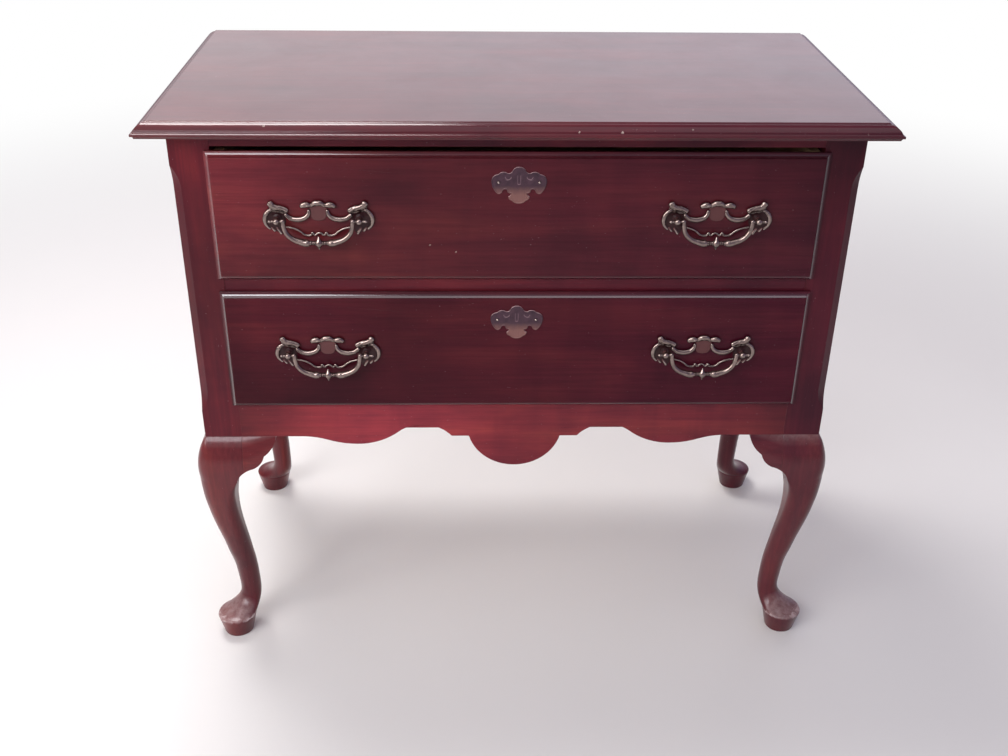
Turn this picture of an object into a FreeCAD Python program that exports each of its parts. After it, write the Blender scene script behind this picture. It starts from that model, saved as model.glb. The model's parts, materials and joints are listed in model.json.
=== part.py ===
"""Lowboy: a two-drawer dressing table on cabriole legs, built as an assembly of its real pieces.

Millimetres. X is left to right, Y is front to back, Z is up. The origin is on the floor, under the
middle of the top board. Driving sizes are cells of the spreadsheet "Sizes"; every other size and
place is a formula of those cells.
"""
import FreeCAD, Part
import Sketcher
import math
import os
import re

from FreeCAD import Placement, Rotation, Vector

doc = FreeCAD.newDocument("Lowboy")

# ---------------------------------------------------------------- driving sizes

SIZES = [
    # the top board
    ("top_width", 794, "top board, left to right"),
    ("top_depth", 402, "top board, front to back"),
    ("top_thickness", 16, "top board"),
    ("overall_height", 693, "floor to the top surface"),
    ("side_overhang", 29, "top board beyond the case at each side"),
    ("front_overhang", 29, "top board beyond the case in front"),
    ("back_overhang", 23, "top board beyond the case behind, past a skirting board"),
    ("edge_width", 14, "moulded edge of the top, in from its outline"),
    ("edge_arris_width", 3.2, "rounded arris where the top's flat ends"),
    ("edge_arris_drop", 1.6, "height of that arris"),
    ("edge_arris_radius", 4, "curve of that arris"),
    ("edge_hollow_drop", 7.6, "top surface down to the foot of the edge's hollow"),
    ("edge_hollow_radius", 15, "curve of that hollow"),
    ("edge_nose_radius", 3, "upper round of the top's edge"),
    ("edge_under_radius", 3, "lower round of the top's edge"),
    # the case
    ("post_size", 43.5, "square of the corner posts and of the leg blocks"),
    ("chamfer_face", 9.5, "width cut from the front face by the front posts' chamfer"),
    ("chamfer_side", 7, "width cut from the side face by that chamfer"),
    ("chamfer_foot", 36, "seam to the chamfer's lower end"),
    ("chamfer_head", 37, "case top to the chamfer's upper end"),
    ("runout_length", 26, "length of the chamfer's run-out at each end"),
    ("panel_thickness", 16, "side panels"),
    ("panel_tongue", 8, "thickness of the side panels' tongues"),
    ("panel_tongue_depth", 10, "tongue of a side panel into its post"),
    ("side_arch_half", 78, "half width of the side panels' arch"),
    ("side_arch_rise", 20, "height of that arch"),
    ("rail_recess", 0.5, "rails behind the face of the posts"),
    ("top_rail_thickness", 16, "rails and kickers under the top"),
    ("kicker_thickness", 22, "kickers over the upper drawer's sides"),
    ("divider_thickness", 19, "rail between the drawers, and the frames' other rails"),
    ("apron_height", 47.3, "apron above the seam, up to the lower drawer"),
    ("apron_thickness", 19, "apron"),
    ("tenon_length", 12, "rail tenons into the posts"),
    ("tenon_inset", 8.5, "rail tenons in from the rail's edges"),
    ("tenon_shoulder", 3, "rail tenons in from the rail's faces"),
    ("apron_tenon", 9, "thickness of the apron's tenons"),
    ("back_thickness", 6, "back panel"),
    ("back_rebate", 12, "back panel's lap on each rear post"),
    ("back_drop", 30, "back panel below the lower drawer's floor"),
    ("shelf_width", 18, "runner inside the post line, under a drawer side"),
    ("guide_height", 14, "runner's guide above the drawer floor"),
    ("groove_depth", 7, "dust panel grooves"),
    ("dust_thickness", 3, "dust panel, and the runners' stub tongues"),
    ("dust_slack", 0.5, "dust panel and stub tongues short of the groove's bottom"),
    ("block_size", 20, "square of the glue blocks"),
    ("dowel_radius", 5, "leg dowels"),
    ("dowel_depth", 24, "leg dowel in the leg, and in the post"),
    ("dowel_offset", 8, "leg dowels from the post's middle, in X and in Y"),
    ("screw_radius", 2, "top screws, shank"),
    ("screw_head_radius", 4, "top screws, head"),
    ("screw_bite", 11, "top screws into the top board"),
    # the apron's lower edge, from the middle outwards, heights from the seam
    ("drop_half", 54.5, "half width of the middle drop"),
    ("drop_radius", 56.5, "curve of the middle drop"),
    ("shelf_end", 75, "end of the short straight beside the drop"),
    ("arch_end", 138.5, "end of the arch"),
    ("arch_end_rise", 5.8, "height of the arch's end"),
    ("arch_radius", 46, "curve of the arch"),
    ("lobe_middle", 187, "lowest point of the side lobe"),
    ("lobe_drop", 11, "depth of the side lobe"),
    ("lobe_inner_radius", 77.4, "curve of the lobe towards the arch"),
    ("lobe_end", 222.6, "end of the lobe's outer curve"),
    ("lobe_end_drop", 5.1, "depth of the lobe there"),
    ("lobe_outer_radius", 110, "curve of the lobe's outer side"),
    ("lobe_fade_end", 255, "end of the curve that fades the lobe out"),
    ("lobe_fade_radius", 100, "curve that fades the lobe out"),
    # legs and knee blocks
    ("knee_bulge", 13.9, "knee beyond the case, in front and at the side"),
    ("ankle_thickness", 25.6, "thinnest part of the leg"),
    ("ankle_height", 60, "floor to the thinnest part"),
    ("ankle_inset", 14.2, "ankle's outer side inside the case corner"),
    ("pad_width", 48.5, "pad foot at its rim"),
    ("pad_reach", 15, "pad's rim beyond the case"),
    ("pad_rim_height", 25, "floor to the pad's rim"),
    ("pad_base_width", 37, "pad foot on the floor"),
    ("thigh_width", 38.6, "leg below the knee, as its taper runs"),
    ("knee_width", 47.2, "leg where it spreads to meet the knee blocks"),
    ("knee_drop", 58, "seam to the place where the knee blocks' curve ends on the leg"),
    ("knee_block_width", 40, "knee block beside the leg"),
    ("knee_block_thickness", 19, "knee block behind the case's face"),
    ("knee_cusp_in", 24.5, "cusp of the knee block, from the leg block"),
    ("knee_cusp_drop", 24.2, "cusp of the knee block, below the seam"),
    ("knee_cusp_radius", 34, "curve from the knee block's tip to its cusp"),
    ("knee_lobe_radius", 20, "lobe under the cusp"),
    ("knee_neck_in", 10, "end of that lobe, from the leg block"),
    ("knee_neck_drop", 39.6, "end of that lobe, below the seam"),
    ("knee_neck_radius", 24, "hollow that leads the knee block's edge down into the leg"),
    # drawers
    ("box_height", 140, "drawer box"),
    ("lower_headroom", 2.9, "over the lower drawer box"),
    ("upper_headroom", 8.2, "over the upper drawer box"),
    ("run_gap", 0.3, "drawer above its runner, and its lip in front of the case"),
    ("side_gap", 1.5, "drawer box to the post at each side"),
    ("box_back_gap", 12, "drawer box to the back panel"),
    ("front_thickness", 19, "drawer front, lip and all"),
    ("lip_thickness", 8.7, "drawer front's lip"),
    ("lip_side", 6, "lip over each post"),
    ("lip_below", 2.2, "lip below the drawer box"),
    ("lip_above", 4.2, "lip above the drawer box"),
    ("mould_width", 5.6, "moulding round a drawer front"),
    ("mould_edge", 3.6, "thickness left at the lip's edge"),
    ("mould_step", 1.2, "step between the moulding and the face"),
    ("mould_radius", 9, "curve of the moulding"),
    ("board_thickness", 11, "drawer sides and backs"),
    ("dovetail_depth", 6, "tails into the drawer front"),
    ("dovetail_width", 20, "a tail at its wide end"),
    ("dovetail_flare", 2, "a tail's slope on each edge"),
    ("dovetail_pitch", 27, "tail to tail"),
    ("bottom_thickness", 5, "drawer bottom"),
    ("bottom_rise", 10, "drawer bottom above the box's lower edge"),
    ("bottom_groove", 5.5, "drawer bottom's grooves"),
    ("back_lower", 6, "drawer back below the drawer sides"),
    ("back_inset", 8, "drawer sides beyond the drawer back"),
    ("back_housing", 4, "drawer back let into the sides"),
    # pulls and escutcheons
    ("pull_inset", 116.5, "middle of a pull in from the drawer front's end"),
    ("pull_height", 72.5, "pull posts above the drawer box's lower edge"),
    ("pull_half_spacing", 43.9, "pull post from the pull's middle"),
    ("plate_thickness", 1.6, "backplate's flat"),
    ("plate_drop", 4.5, "backplate's own middle line below the pull posts"),
    ("post_reach", 11.5, "middle of the bail's pins in front of the drawer face"),
    ("post_ball_radius", 4.2, "pull post's head"),
    ("post_neck_radius", 2.8, "pull post's neck"),
    ("post_flange_radius", 5.5, "pull post's collar on the backplate"),
    ("post_shank_radius", 2, "pull post's threaded shank"),
    ("pin_radius", 1.4, "bail's pins"),
    ("pin_clearance", 0.06, "bail's pin in its post, all round"),
    ("bail_drop", 24.6, "bail's lower bar below its pins"),
    ("nut_radius", 4.6, "pull nuts, across corners"),
    ("nut_thickness", 3, "pull nuts"),
    ("nut_end", 2.5, "threaded shank beyond its nut"),
    ("escutcheon_height", 112.8, "escutcheon's nails above the box's lower edge"),
    ("escutcheon_thickness", 1.2, "escutcheon"),
    ("nail_spread", 21.7, "escutcheon nails from the middle"),
    ("nail_radius", 0.8, "escutcheon nails, shank"),
    ("nail_head_radius", 1.7, "escutcheon nails, head"),
    ("nail_length", 11, "escutcheon nails into the drawer front"),
    ("plate_relief", 2, "middle of the backplate's ribs in front of the drawer face"),
]

# Places and sizes that follow from the driving ones.
DERIVED = {
    "case_half": "top_width / 2 - side_overhang",
    "case_front": "front_overhang - top_depth / 2",
    "case_back": "top_depth / 2 - back_overhang",
    "case_middle": "(case_front + case_back) / 2",
    "case_top": "overall_height - top_thickness",
    "post_inner": "case_half - post_size",
    "front_post_back": "case_front + post_size",
    "rear_post_front": "case_back - post_size",
    "back_inside": "case_back - back_thickness",
    "panel_inner": "case_half - panel_thickness",
    "rail_front": "case_front + rail_recess",
    "rail_bottom": "case_top - top_rail_thickness",
    "drawer_stack": "2 * (run_gap + box_height) + upper_headroom + divider_thickness + lower_headroom",
    # the seam between legs and case: the legs take up what the case leaves of the overall height
    "leg_height": "rail_bottom - drawer_stack - apron_height",
    "lower_floor": "leg_height + apron_height",
    "divider_bottom": "lower_floor + run_gap + box_height + lower_headroom",
    "upper_floor": "divider_bottom + divider_thickness",
    "shelf_edge": "post_inner - shelf_width",
    "tenon_end": "post_inner + tenon_length",
    "box_half": "post_inner - side_gap",
    "board_inner": "box_half - board_thickness",
    "lip_back": "case_front - run_gap",
    "face": "lip_back - lip_thickness",
    "front_back": "face + front_thickness",
    "box_back": "back_inside - box_back_gap",
    "lip_half": "post_inner + lip_side",
    "pull_centre": "lip_half - pull_inset",
}

sheet = doc.addObject("Spreadsheet::Sheet", "Sizes")
for row, (alias, size, note) in enumerate(SIZES, start=1):
    sheet.set(f"A{row}", note)
    sheet.set(f"B{row}", str(size))
    sheet.setAlias(f"B{row}", alias)
doc.recompute()

ALIASES = {alias for alias, _, _ in SIZES}
WORD = re.compile(r"[a-z_]+[a-z]")


def formula(text):
    """A FreeCAD expression for a formula written with size names only."""

    def swap(match):
        word = match.group(0)
        if word in DERIVED:
            return f"({formula(DERIVED[word])})"
        if word in ALIASES:
            return f"Sizes.{word}"
        return word

    return WORD.sub(swap, str(text))


def value(text):
    """The number that a formula gives now."""
    return float(sheet.evalExpression(formula(text)))


def bind(obj, prop, text):
    obj.setExpression(prop, formula(text))


# ---------------------------------------------------------------- building blocks

NODES = []


def name_node(obj, label):
    """Gives a finished sub-part its label and lists it for export."""
    obj.Label = label
    NODES.append(obj)
    return obj


def place(obj, x, y, z):
    bind(obj, "Placement.Base.x", x)
    bind(obj, "Placement.Base.y", y)
    bind(obj, "Placement.Base.z", z)


def block(name, x, y, z):
    """A box between two formulas along each axis."""
    box = doc.addObject("Part::Box", name)
    bind(box, "Length", f"({x[1]}) - ({x[0]})")
    bind(box, "Width", f"({y[1]}) - ({y[0]})")
    bind(box, "Height", f"({z[1]}) - ({z[0]})")
    place(box, x[0], y[0], z[0])
    return box


def rod(name, x, y, z, radius, length, axis=Vector(0, 0, 1)):
    """A round bar from a point along an axis."""
    bar = doc.addObject("Part::Cylinder", name)
    bind(bar, "Radius", radius)
    bind(bar, "Height", length)
    bar.Placement.Rotation = Rotation(Vector(0, 0, 1), axis)
    place(bar, x, y, z)
    return bar


def fused(name, parts):
    joined = doc.addObject("Part::MultiFuse", name)
    joined.Shapes = parts
    return joined


def group(name, parts):
    """Separate solids of one kind in one sub-part."""
    together = doc.addObject("Part::Compound", name)
    together.Links = parts
    return together


def cut(name, base, tools):
    trimmed = doc.addObject("Part::Cut", name)
    trimmed.Base = base
    trimmed.Tool = tools[0] if len(tools) == 1 else fused(f"{name}_cutters", tools)
    return trimmed


def common(name, first, second):
    shared = doc.addObject("Part::MultiCommon", name)
    shared.Shapes = [first, second]
    return shared


def mirrored(name, source, normal, x="0", y="0"):
    """A mirror image about the upright plane through a point."""
    image = doc.addObject("Part::Mirroring", name)
    image.Source = source
    image.Normal = normal
    bind(image, "Base.x", x)
    bind(image, "Base.y", y)
    return image


def solid(name, shape):
    """A sub-part whose curved shape is worked out in code."""
    feature = doc.addObject("Part::Feature", name)
    feature.Shape = shape
    return feature


def bowed(start, end, radius):
    """Centre of the arc from start to end: a positive radius bows it to the left of the way."""
    way = end - start
    half = way.Length / 2
    rise = math.sqrt(max(radius * radius - half * half, 0))
    left = Vector(-way.y, way.x, 0).normalize()
    return (start + end) / 2 - left * math.copysign(rise, radius)


def draw(sketch, corners):
    """Closes an outline through corners (u, v) or (u, v, radius of the arc that leaves the corner)."""
    points = [Vector(value(c[0]), value(c[1]), 0) for c in corners]
    ends = []
    for index, corner in enumerate(corners):
        start = points[index]
        end = points[(index + 1) % len(points)]
        if len(corner) == 2:
            side = sketch.addGeometry(Part.LineSegment(start, end))
            ends.append(((side, 1), (side, 2)))
            continue
        radius = value(corner[2])
        centre = bowed(start, end, radius)
        ring = Part.Circle(centre, Vector(0, 0, 1), abs(radius))
        first, last = (end, start) if radius > 0 else (start, end)
        angles = [math.atan2(p.y - centre.y, p.x - centre.x) for p in (first, last)]
        side = sketch.addGeometry(Part.ArcOfCircle(ring, angles[0], angles[1]))
        ends.append(((side, 2), (side, 1)) if radius > 0 else ((side, 1), (side, 2)))
        bend = sketch.addConstraint(Sketcher.Constraint("Radius", side, abs(radius)))
        bind(sketch, f"Constraints[{bend}]", f"abs({corner[2]})")
    for index, corner in enumerate(corners):
        before = ends[index - 1][1]
        after = ends[index][0]
        sketch.addConstraint(Sketcher.Constraint("Coincident", *before, *after))
        for kind, text, number in (("DistanceX", corner[0], points[index].x),
                                   ("DistanceY", corner[1], points[index].y)):
            pin = sketch.addConstraint(Sketcher.Constraint(kind, -1, 1, *after, number))
            bind(sketch, f"Constraints[{pin}]", text)


PLANES = {"XY": ("XY_Plane", 1), "XZ": ("XZ_Plane", -1), "YZ": ("YZ_Plane", 1)}


def prism(name, plane, corners, start, end):
    """A body padded from a drawn outline, between two places along the plane's own axis."""
    role, sense = PLANES[plane]
    body = doc.addObject("PartDesign::Body", name)
    sketch = body.newObject("Sketcher::SketchObject", f"{name}_outline")
    origin_plane = next(f for f in body.Origin.OriginFeatures if f.Role == role)
    sketch.AttachmentSupport = [(origin_plane, "")]
    sketch.MapMode = "FlatFace"
    bind(sketch, "AttachmentOffset.Base.z", f"{sense} * ({start})")
    draw(sketch, corners)
    pad = body.newObject("PartDesign::Pad", f"{name}_pad")
    pad.Profile = sketch
    pad.Reversed = sense < 0
    bind(pad, "Length", f"({end}) - ({start})")
    body.Tip = pad
    return body


# ---------------------------------------------------------------- the top board

TOP_HALF = "top_width / 2"
TOP_FRONT = "-top_depth / 2"
TOP_BACK = "top_depth / 2"


def edge_waste(across):
    """Waste outside the top's moulded edge; across(inset) places a distance in from the edge."""
    top = "overall_height"
    foot = f"{top} - edge_hollow_drop"
    under = "case_top + edge_under_radius"
    return [
        (across("edge_width"), top, "edge_arris_radius"),
        (across("edge_width - edge_arris_width"), f"{top} - edge_arris_drop", "-edge_hollow_radius"),
        (across("edge_nose_radius"), foot, "edge_nose_radius"),
        (across("0"), f"{foot} - edge_nose_radius"),
        (across("0"), under, "edge_under_radius"),
        (across("edge_under_radius"), "case_top"),
        (across("edge_under_radius"), "case_top - 2"),
        (across("-2"), "case_top - 2"),
        (across("-2"), f"{top} + 2"),
        (across("edge_width"), f"{top} + 2"),
    ]


top_blank = block("top_blank", (f"-{TOP_HALF}", TOP_HALF), (TOP_FRONT, TOP_BACK),
                  ("case_top", "overall_height"))
front_waste = prism("top_front_waste", "YZ", edge_waste(lambda inset: f"{TOP_FRONT} + {inset}"),
                    f"-{TOP_HALF} - 5", f"{TOP_HALF} + 5")
left_waste = prism("top_left_waste", "XZ", edge_waste(lambda inset: f"-{TOP_HALF} + {inset}"),
                   f"{TOP_FRONT} - 5", f"{TOP_BACK} + 5")
right_waste = mirrored("top_right_waste", left_waste, Vector(1, 0, 0))

# Top screws on the right: what each goes up through, and its place; the left ones mirror them.
SCREW_SPOTS = [
    ("kicker", "post_inner + 6", "case_middle - 65"),
    ("kicker", "post_inner + 6", "case_middle + 65"),
    ("rail", "case_half / 2", "case_front + post_size / 2"),
    ("rail", "case_half / 2", "case_back - post_size / 2"),
]


def screw(name, x, y, under):
    """A round-headed screw up into the top board, its head below the given height."""
    shank = rod(f"{name}_shank", x, y, under, "screw_radius", f"case_top + screw_bite - ({under})")
    head = rod(f"{name}_head", x, y, f"{under} - 2", "screw_head_radius", "2")
    return fused(name, [shank, head])


screws = []
for number, (kind, x, y) in enumerate(SCREW_SPOTS):
    under = "case_top - kicker_thickness" if kind == "kicker" else "rail_bottom"
    screws.append(screw(f"screw_{number}_right", x, y, under))
    screws.append(screw(f"screw_{number}_left", f"-({x})", y, under))
top_screws = name_node(group("top_screws", screws), "top_screws")
name_node(cut("top_board", top_blank, [front_waste, left_waste, right_waste, top_screws]), "top_board")

# ---------------------------------------------------------------- rails, apron and back


def rail(name, y, z, groove_back, screwed=False):
    """A rail between two posts, tenoned at both ends and grooved along its inner edge."""
    body = block(f"{name}_blank", ("-post_inner", "post_inner"), y, z)
    y_tenon = (f"{y[0]} + tenon_inset", f"{y[1]} - tenon_inset")
    z_tenon = (f"{z[0]} + tenon_shoulder", f"{z[1]} - tenon_shoulder")
    tenon = block(f"{name}_tenons", ("-(tenon_end)", "tenon_end"), y_tenon, z_tenon)
    depth = (f"{y[0]} - 1", f"{y[0]} + groove_depth")
    if groove_back:
        depth = (f"{y[1]} - groove_depth", f"{y[1]} + 1")
    groove = block(f"{name}_groove", ("-post_inner", "post_inner"), depth, middle(z, "dust_thickness"))
    tools = [groove, top_screws] if screwed else [groove]
    return name_node(cut(name, fused(f"{name}_board", [body, tenon]), tools), name)


def middle(span, thickness):
    """A thickness centred on a span."""
    centre = f"(({span[0]}) + ({span[1]})) / 2"
    return f"{centre} - {thickness} / 2", f"{centre} + {thickness} / 2"


FRONT_RAIL = ("rail_front", "front_post_back")
BACK_RAIL = ("rear_post_front", "back_inside")
TOP_LEVEL = ("rail_bottom", "case_top")
DIVIDER_LEVEL = ("divider_bottom", "upper_floor")
LOWER_LEVEL = ("lower_floor - divider_thickness", "lower_floor")

front_top_rail = rail("front_top_rail", FRONT_RAIL, TOP_LEVEL, True, screwed=True)
divider_rail = rail("drawer_divider_rail", FRONT_RAIL, DIVIDER_LEVEL, True)
back_top_rail = rail("back_top_rail", BACK_RAIL, TOP_LEVEL, False, screwed=True)
back_middle_rail = rail("back_middle_rail", BACK_RAIL, DIVIDER_LEVEL, False)
back_lower_rail = rail("back_lower_rail", BACK_RAIL, LOWER_LEVEL, False)

lower_front = block("lower_front_blank", ("-post_inner", "post_inner"),
                    ("case_front + apron_thickness", "front_post_back"), LOWER_LEVEL)
lower_front_groove = block("lower_front_groove", ("-post_inner", "post_inner"),
                           ("front_post_back - groove_depth", "front_post_back + 1"),
                           middle(LOWER_LEVEL, "dust_thickness"))
name_node(cut("lower_front_rail", lower_front, [lower_front_groove]), "lower_front_rail")

apron_half = [
    ("drop_half", "leg_height"),
    ("shelf_end", "leg_height", "arch_radius"),
    ("arch_end", "leg_height + arch_end_rise", "-lobe_inner_radius"),
    ("lobe_middle", "leg_height - lobe_drop", "-lobe_outer_radius"),
    ("lobe_end", "leg_height - lobe_end_drop", "lobe_fade_radius"),
    ("lobe_fade_end", "leg_height"),
    ("post_inner", "leg_height"),
    ("post_inner", "lower_floor"),
]
apron_outline = apron_half + [(f"-({c[0]})", c[1]) for c in reversed(apron_half)]
for index, corner in enumerate(apron_half[:-1]):
    if len(corner) == 3:
        place_left = len(apron_outline) - 2 - index
        apron_outline[place_left] = (*apron_outline[place_left], corner[2])
apron_outline[-1] = (*apron_outline[-1][:2], "-drop_radius")
apron_board = prism("apron_board", "XZ", apron_outline, "case_front", "case_front + apron_thickness")
apron_tenons = block("apron_tenons", ("-(tenon_end)", "tenon_end"),
                     middle(("case_front", "case_front + apron_thickness"), "apron_tenon"),
                     ("leg_height + tenon_inset", "lower_floor - tenon_inset"))
apron = name_node(fused("apron", [apron_board, apron_tenons]), "apron")

BACK_HALF = "(post_inner + back_rebate)"
back_panel = name_node(block("back_panel", (f"-{BACK_HALF}", BACK_HALF), ("back_inside", "case_back"),
                             ("lower_floor - back_drop", "case_top")), "back_panel")

# ---------------------------------------------------------------- side panels

panel_outline = [
    ("front_post_back", "leg_height"),
    ("case_middle - side_arch_half", "leg_height",
     "(side_arch_half ^ 2 + side_arch_rise ^ 2) / (2 * side_arch_rise)"),
    ("case_middle + side_arch_half", "leg_height"),
    ("rear_post_front", "leg_height"),
    ("rear_post_front", "case_top"),
    ("front_post_back", "case_top"),
]
panel_board = prism("side_panel_board", "YZ", panel_outline, "panel_inner", "case_half")
PANEL_TONGUE = middle(("panel_inner", "case_half"), "panel_tongue")
panel_tongues = [
    block("panel_front_tongue", PANEL_TONGUE, ("front_post_back - panel_tongue_depth", "front_post_back"),
          ("leg_height", "case_top")),
    block("panel_back_tongue", PANEL_TONGUE, ("rear_post_front", "rear_post_front + panel_tongue_depth"),
          ("leg_height", "case_top")),
]
side_panel_right = name_node(fused("side_panel_right", [panel_board, *panel_tongues]), "side_panel_right")
name_node(mirrored("side_panel_left", side_panel_right, Vector(1, 0, 0)), "side_panel_left")

# ---------------------------------------------------------------- runners, kickers and dust panel


def side_rail(name, z, guide, grooved, screwed=False):
    """A board from front to back under or over a drawer side, tongued into the front and back rails."""
    span = ("front_post_back", "rear_post_front")
    parts = [block(f"{name}_blank", ("shelf_edge", "panel_inner"), span, z)]
    level = middle(TOP_LEVEL if screwed else z, "dust_thickness")
    reach = "groove_depth - dust_slack"
    parts.append(block(f"{name}_tongues", ("shelf_edge + groove_depth", "post_inner"),
                       (f"{span[0]} - ({reach})", f"{span[1]} + {reach}"), level))
    if guide:
        parts.append(block(f"{name}_guide", ("post_inner", "panel_inner"), span,
                           (z[1], f"{z[1]} + guide_height")))
    board = fused(f"{name}_board", parts)
    if grooved:
        groove = block(f"{name}_groove", ("shelf_edge - 1", "shelf_edge + groove_depth"), span, level)
        board = cut(f"{name}_grooved", board, [groove])
    if screwed:
        board = cut(f"{name}_bored", board, [top_screws])
    right = name_node(board, f"{name}_right")
    name_node(mirrored(f"{name}_left", right, Vector(1, 0, 0)), f"{name}_left")


side_rail("upper_runner", DIVIDER_LEVEL, guide=True, grooved=True)
side_rail("lower_runner", LOWER_LEVEL, guide=True, grooved=False)
side_rail("kicker", ("case_top - kicker_thickness", "case_top"), guide=False, grooved=False, screwed=True)

DUST_REACH = "groove_depth - dust_slack"
name_node(block("dust_panel", (f"-(shelf_edge + {DUST_REACH})", f"shelf_edge + {DUST_REACH}"),
                (f"front_post_back - ({DUST_REACH})", f"rear_post_front + {DUST_REACH}"),
                middle(DIVIDER_LEVEL, "dust_thickness")), "dust_panel")

glue_right = block("glue_block_right", ("post_inner - block_size", "post_inner"),
                   ("case_front + apron_thickness", "case_front + apron_thickness + block_size"),
                   ("leg_height", "lower_floor - divider_thickness"))
glue_left = mirrored("glue_block_left", glue_right, Vector(1, 0, 0))
name_node(group("glue_blocks", [glue_right, glue_left]), "glue_blocks")

# ---------------------------------------------------------------- leg dowels and posts

POST_MIDDLE_X = "case_half - post_size / 2"
FRONT_POST_MIDDLE = "case_front + post_size / 2"


def mirrored_back(name, source):
    """The mirror image about the upright plane half way between the case's front and back."""
    return mirrored(name, source, Vector(0, 1, 0), y="case_middle")


outer_dowel = rod("outer_dowel", f"{POST_MIDDLE_X} + dowel_offset", f"{FRONT_POST_MIDDLE} - dowel_offset",
                  "leg_height - dowel_depth", "dowel_radius", "2 * dowel_depth")
inner_dowel = rod("inner_dowel", f"{POST_MIDDLE_X} - dowel_offset", f"{FRONT_POST_MIDDLE} + dowel_offset",
                  "leg_height - dowel_depth", "dowel_radius", "2 * dowel_depth")
dowels = group("front_right_dowels", [outer_dowel, inner_dowel])
rear_dowels = mirrored_back("rear_right_dowels", dowels)
left_dowels = mirrored("front_left_dowels", dowels, Vector(1, 0, 0))
left_rear_dowels = mirrored("rear_left_dowels", rear_dowels, Vector(1, 0, 0))
all_dowels = [dowels, rear_dowels, left_dowels, left_rear_dowels]
name_node(group("leg_dowels", all_dowels), "leg_dowels")


def chamfer_cutter():
    """Waste of the front right post's chamfer, which runs out to the corner at both ends."""
    face = value("chamfer_face")
    side = value("chamfer_side")
    corner = Vector(value("case_half"), value("case_front"), 0)
    along = Vector(face, side, 0)
    inward = Vector(-side, face, 0).normalize()
    depth = face * side / math.hypot(face, side)
    runout = value("runout_length")
    radius = (runout ** 2 + depth ** 2) / (2 * depth)
    half_depth = depth - radius + math.sqrt(radius ** 2 - (runout / 2) ** 2)
    foot = value("leg_height + chamfer_foot")
    head = value("case_top - chamfer_head")

    def at(cut_depth, z):
        return corner + inward * cut_depth + Vector(0, 0, z)

    def runout_arc(end, way):
        """From nothing at the chamfer's end to its full depth."""
        middle = at(half_depth, end + way * runout / 2)
        return Part.Arc(at(0, end), middle, at(depth, end + way * runout)).toShape()

    outside = [at(-2, foot), at(-2, head)]
    edges = [
        runout_arc(foot, 1),
        Part.makeLine(at(depth, foot + runout), at(depth, head - runout)),
        runout_arc(head, -1),
        Part.makeLine(at(0, head), outside[1]),
        Part.makeLine(outside[1], outside[0]),
        Part.makeLine(outside[0], at(0, foot)),
    ]
    profile = Part.Face(Part.Wire(Part.__sortEdges__(edges)))
    profile.translate(along * -1)
    return profile.extrude(along * 2)


def post(name, y, tools):
    blank = block(f"{name}_blank", ("post_inner", "case_half"), y, ("leg_height", "case_top"))
    right = name_node(cut(f"{name}_right", blank, tools), f"{name}_right")
    name_node(mirrored(f"{name}_left", right, Vector(1, 0, 0)), f"{name}_left")


chamfer = solid("post_chamfer", chamfer_cutter())
post("front_post", ("case_front", "front_post_back"),
     [chamfer, dowels, front_top_rail, divider_rail, apron, side_panel_right])
post("rear_post", ("rear_post_front", "case_back"),
     [rear_dowels, back_top_rail, back_middle_rail, back_lower_rail, back_panel, side_panel_right])

# ---------------------------------------------------------------- legs

# Share of the way down the leg block, share of the knee's bulge, rounding as a share of the width.
KNEE_SWELL = [(0, 0, 0.05), (0.1, 0.3, 0.12), (0.22, 0.53, 0.18), (0.38, 0.76, 0.24), (0.55, 0.92, 0.27),
              (0.7, 0.99, 0.29), (0.8, 1, 0.3), (0.9, 0.985, 0.31), (1, 0.96, 0.32)]


def rounded_square(low, high, z, radii):
    """A square between two corners with each of its corners rounded, as a wire at height z.

    The radii are for the corners inner front, outer front, outer back and inner back.
    """
    around = ((low.x, low.y), (high.x, low.y), (high.x, high.y), (low.x, high.y))
    corners = [Vector(x, y, z) for x, y in around]
    edges = []
    stops = []
    for index, corner in enumerate(corners):
        back_way = (corners[index - 1] - corner).normalize() * radii[index]
        next_way = (corners[(index + 1) % 4] - corner).normalize() * radii[index]
        centre = corner + back_way + next_way
        bend = centre + (corner - centre) * (1 / math.sqrt(2))
        stops.append((corner + back_way, bend, corner + next_way))
    for index, (start, bend, end) in enumerate(stops):
        edges.append(Part.Arc(start, bend, end).toShape())
        edges.append(Part.makeLine(end, stops[(index + 1) % 4][0]))
    return Part.Wire(edges)


# Rounding of the leg's corners where they meet the knee blocks.
CRISP = 0.5


def leg_section(z, reach, width, corner, inner_corner):
    """A section of the front right leg whose outer faces lie a reach beyond the case.

    Its outer corner has its own rounding, and the three beside the knee blocks share another.
    """
    outer_x = value("case_half") + reach
    outer_y = value("case_front") - reach
    low = Vector(outer_x - width, outer_y, 0)
    high = Vector(outer_x, outer_y + width, 0)
    return rounded_square(low, high, z, (inner_corner, corner, inner_corner, inner_corner))


def round_section(z, reach, width):
    """A section of the leg or its foot that is all but round."""
    return leg_section(z, reach, width, 0.49 * width, 0.49 * width)


def ease(share):
    """An S curve from 0 to 1 that leaves its ends at a slope."""
    return 0.75 * share * share * (3 - 2 * share) + 0.25 * share


def block_loft():
    """The leg block, bulging at its two outer faces."""
    seam = value("leg_height")
    drop = value("knee_drop")
    bulge = value("knee_bulge")
    sections = []
    for down, swell, rounding in KNEE_SWELL:
        reach = bulge * swell
        width = value("post_size") + reach
        sections.append(leg_section(seam - drop * down, reach, width, rounding * width, CRISP))
    return Part.makeLoft(sections, True, False)


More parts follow.
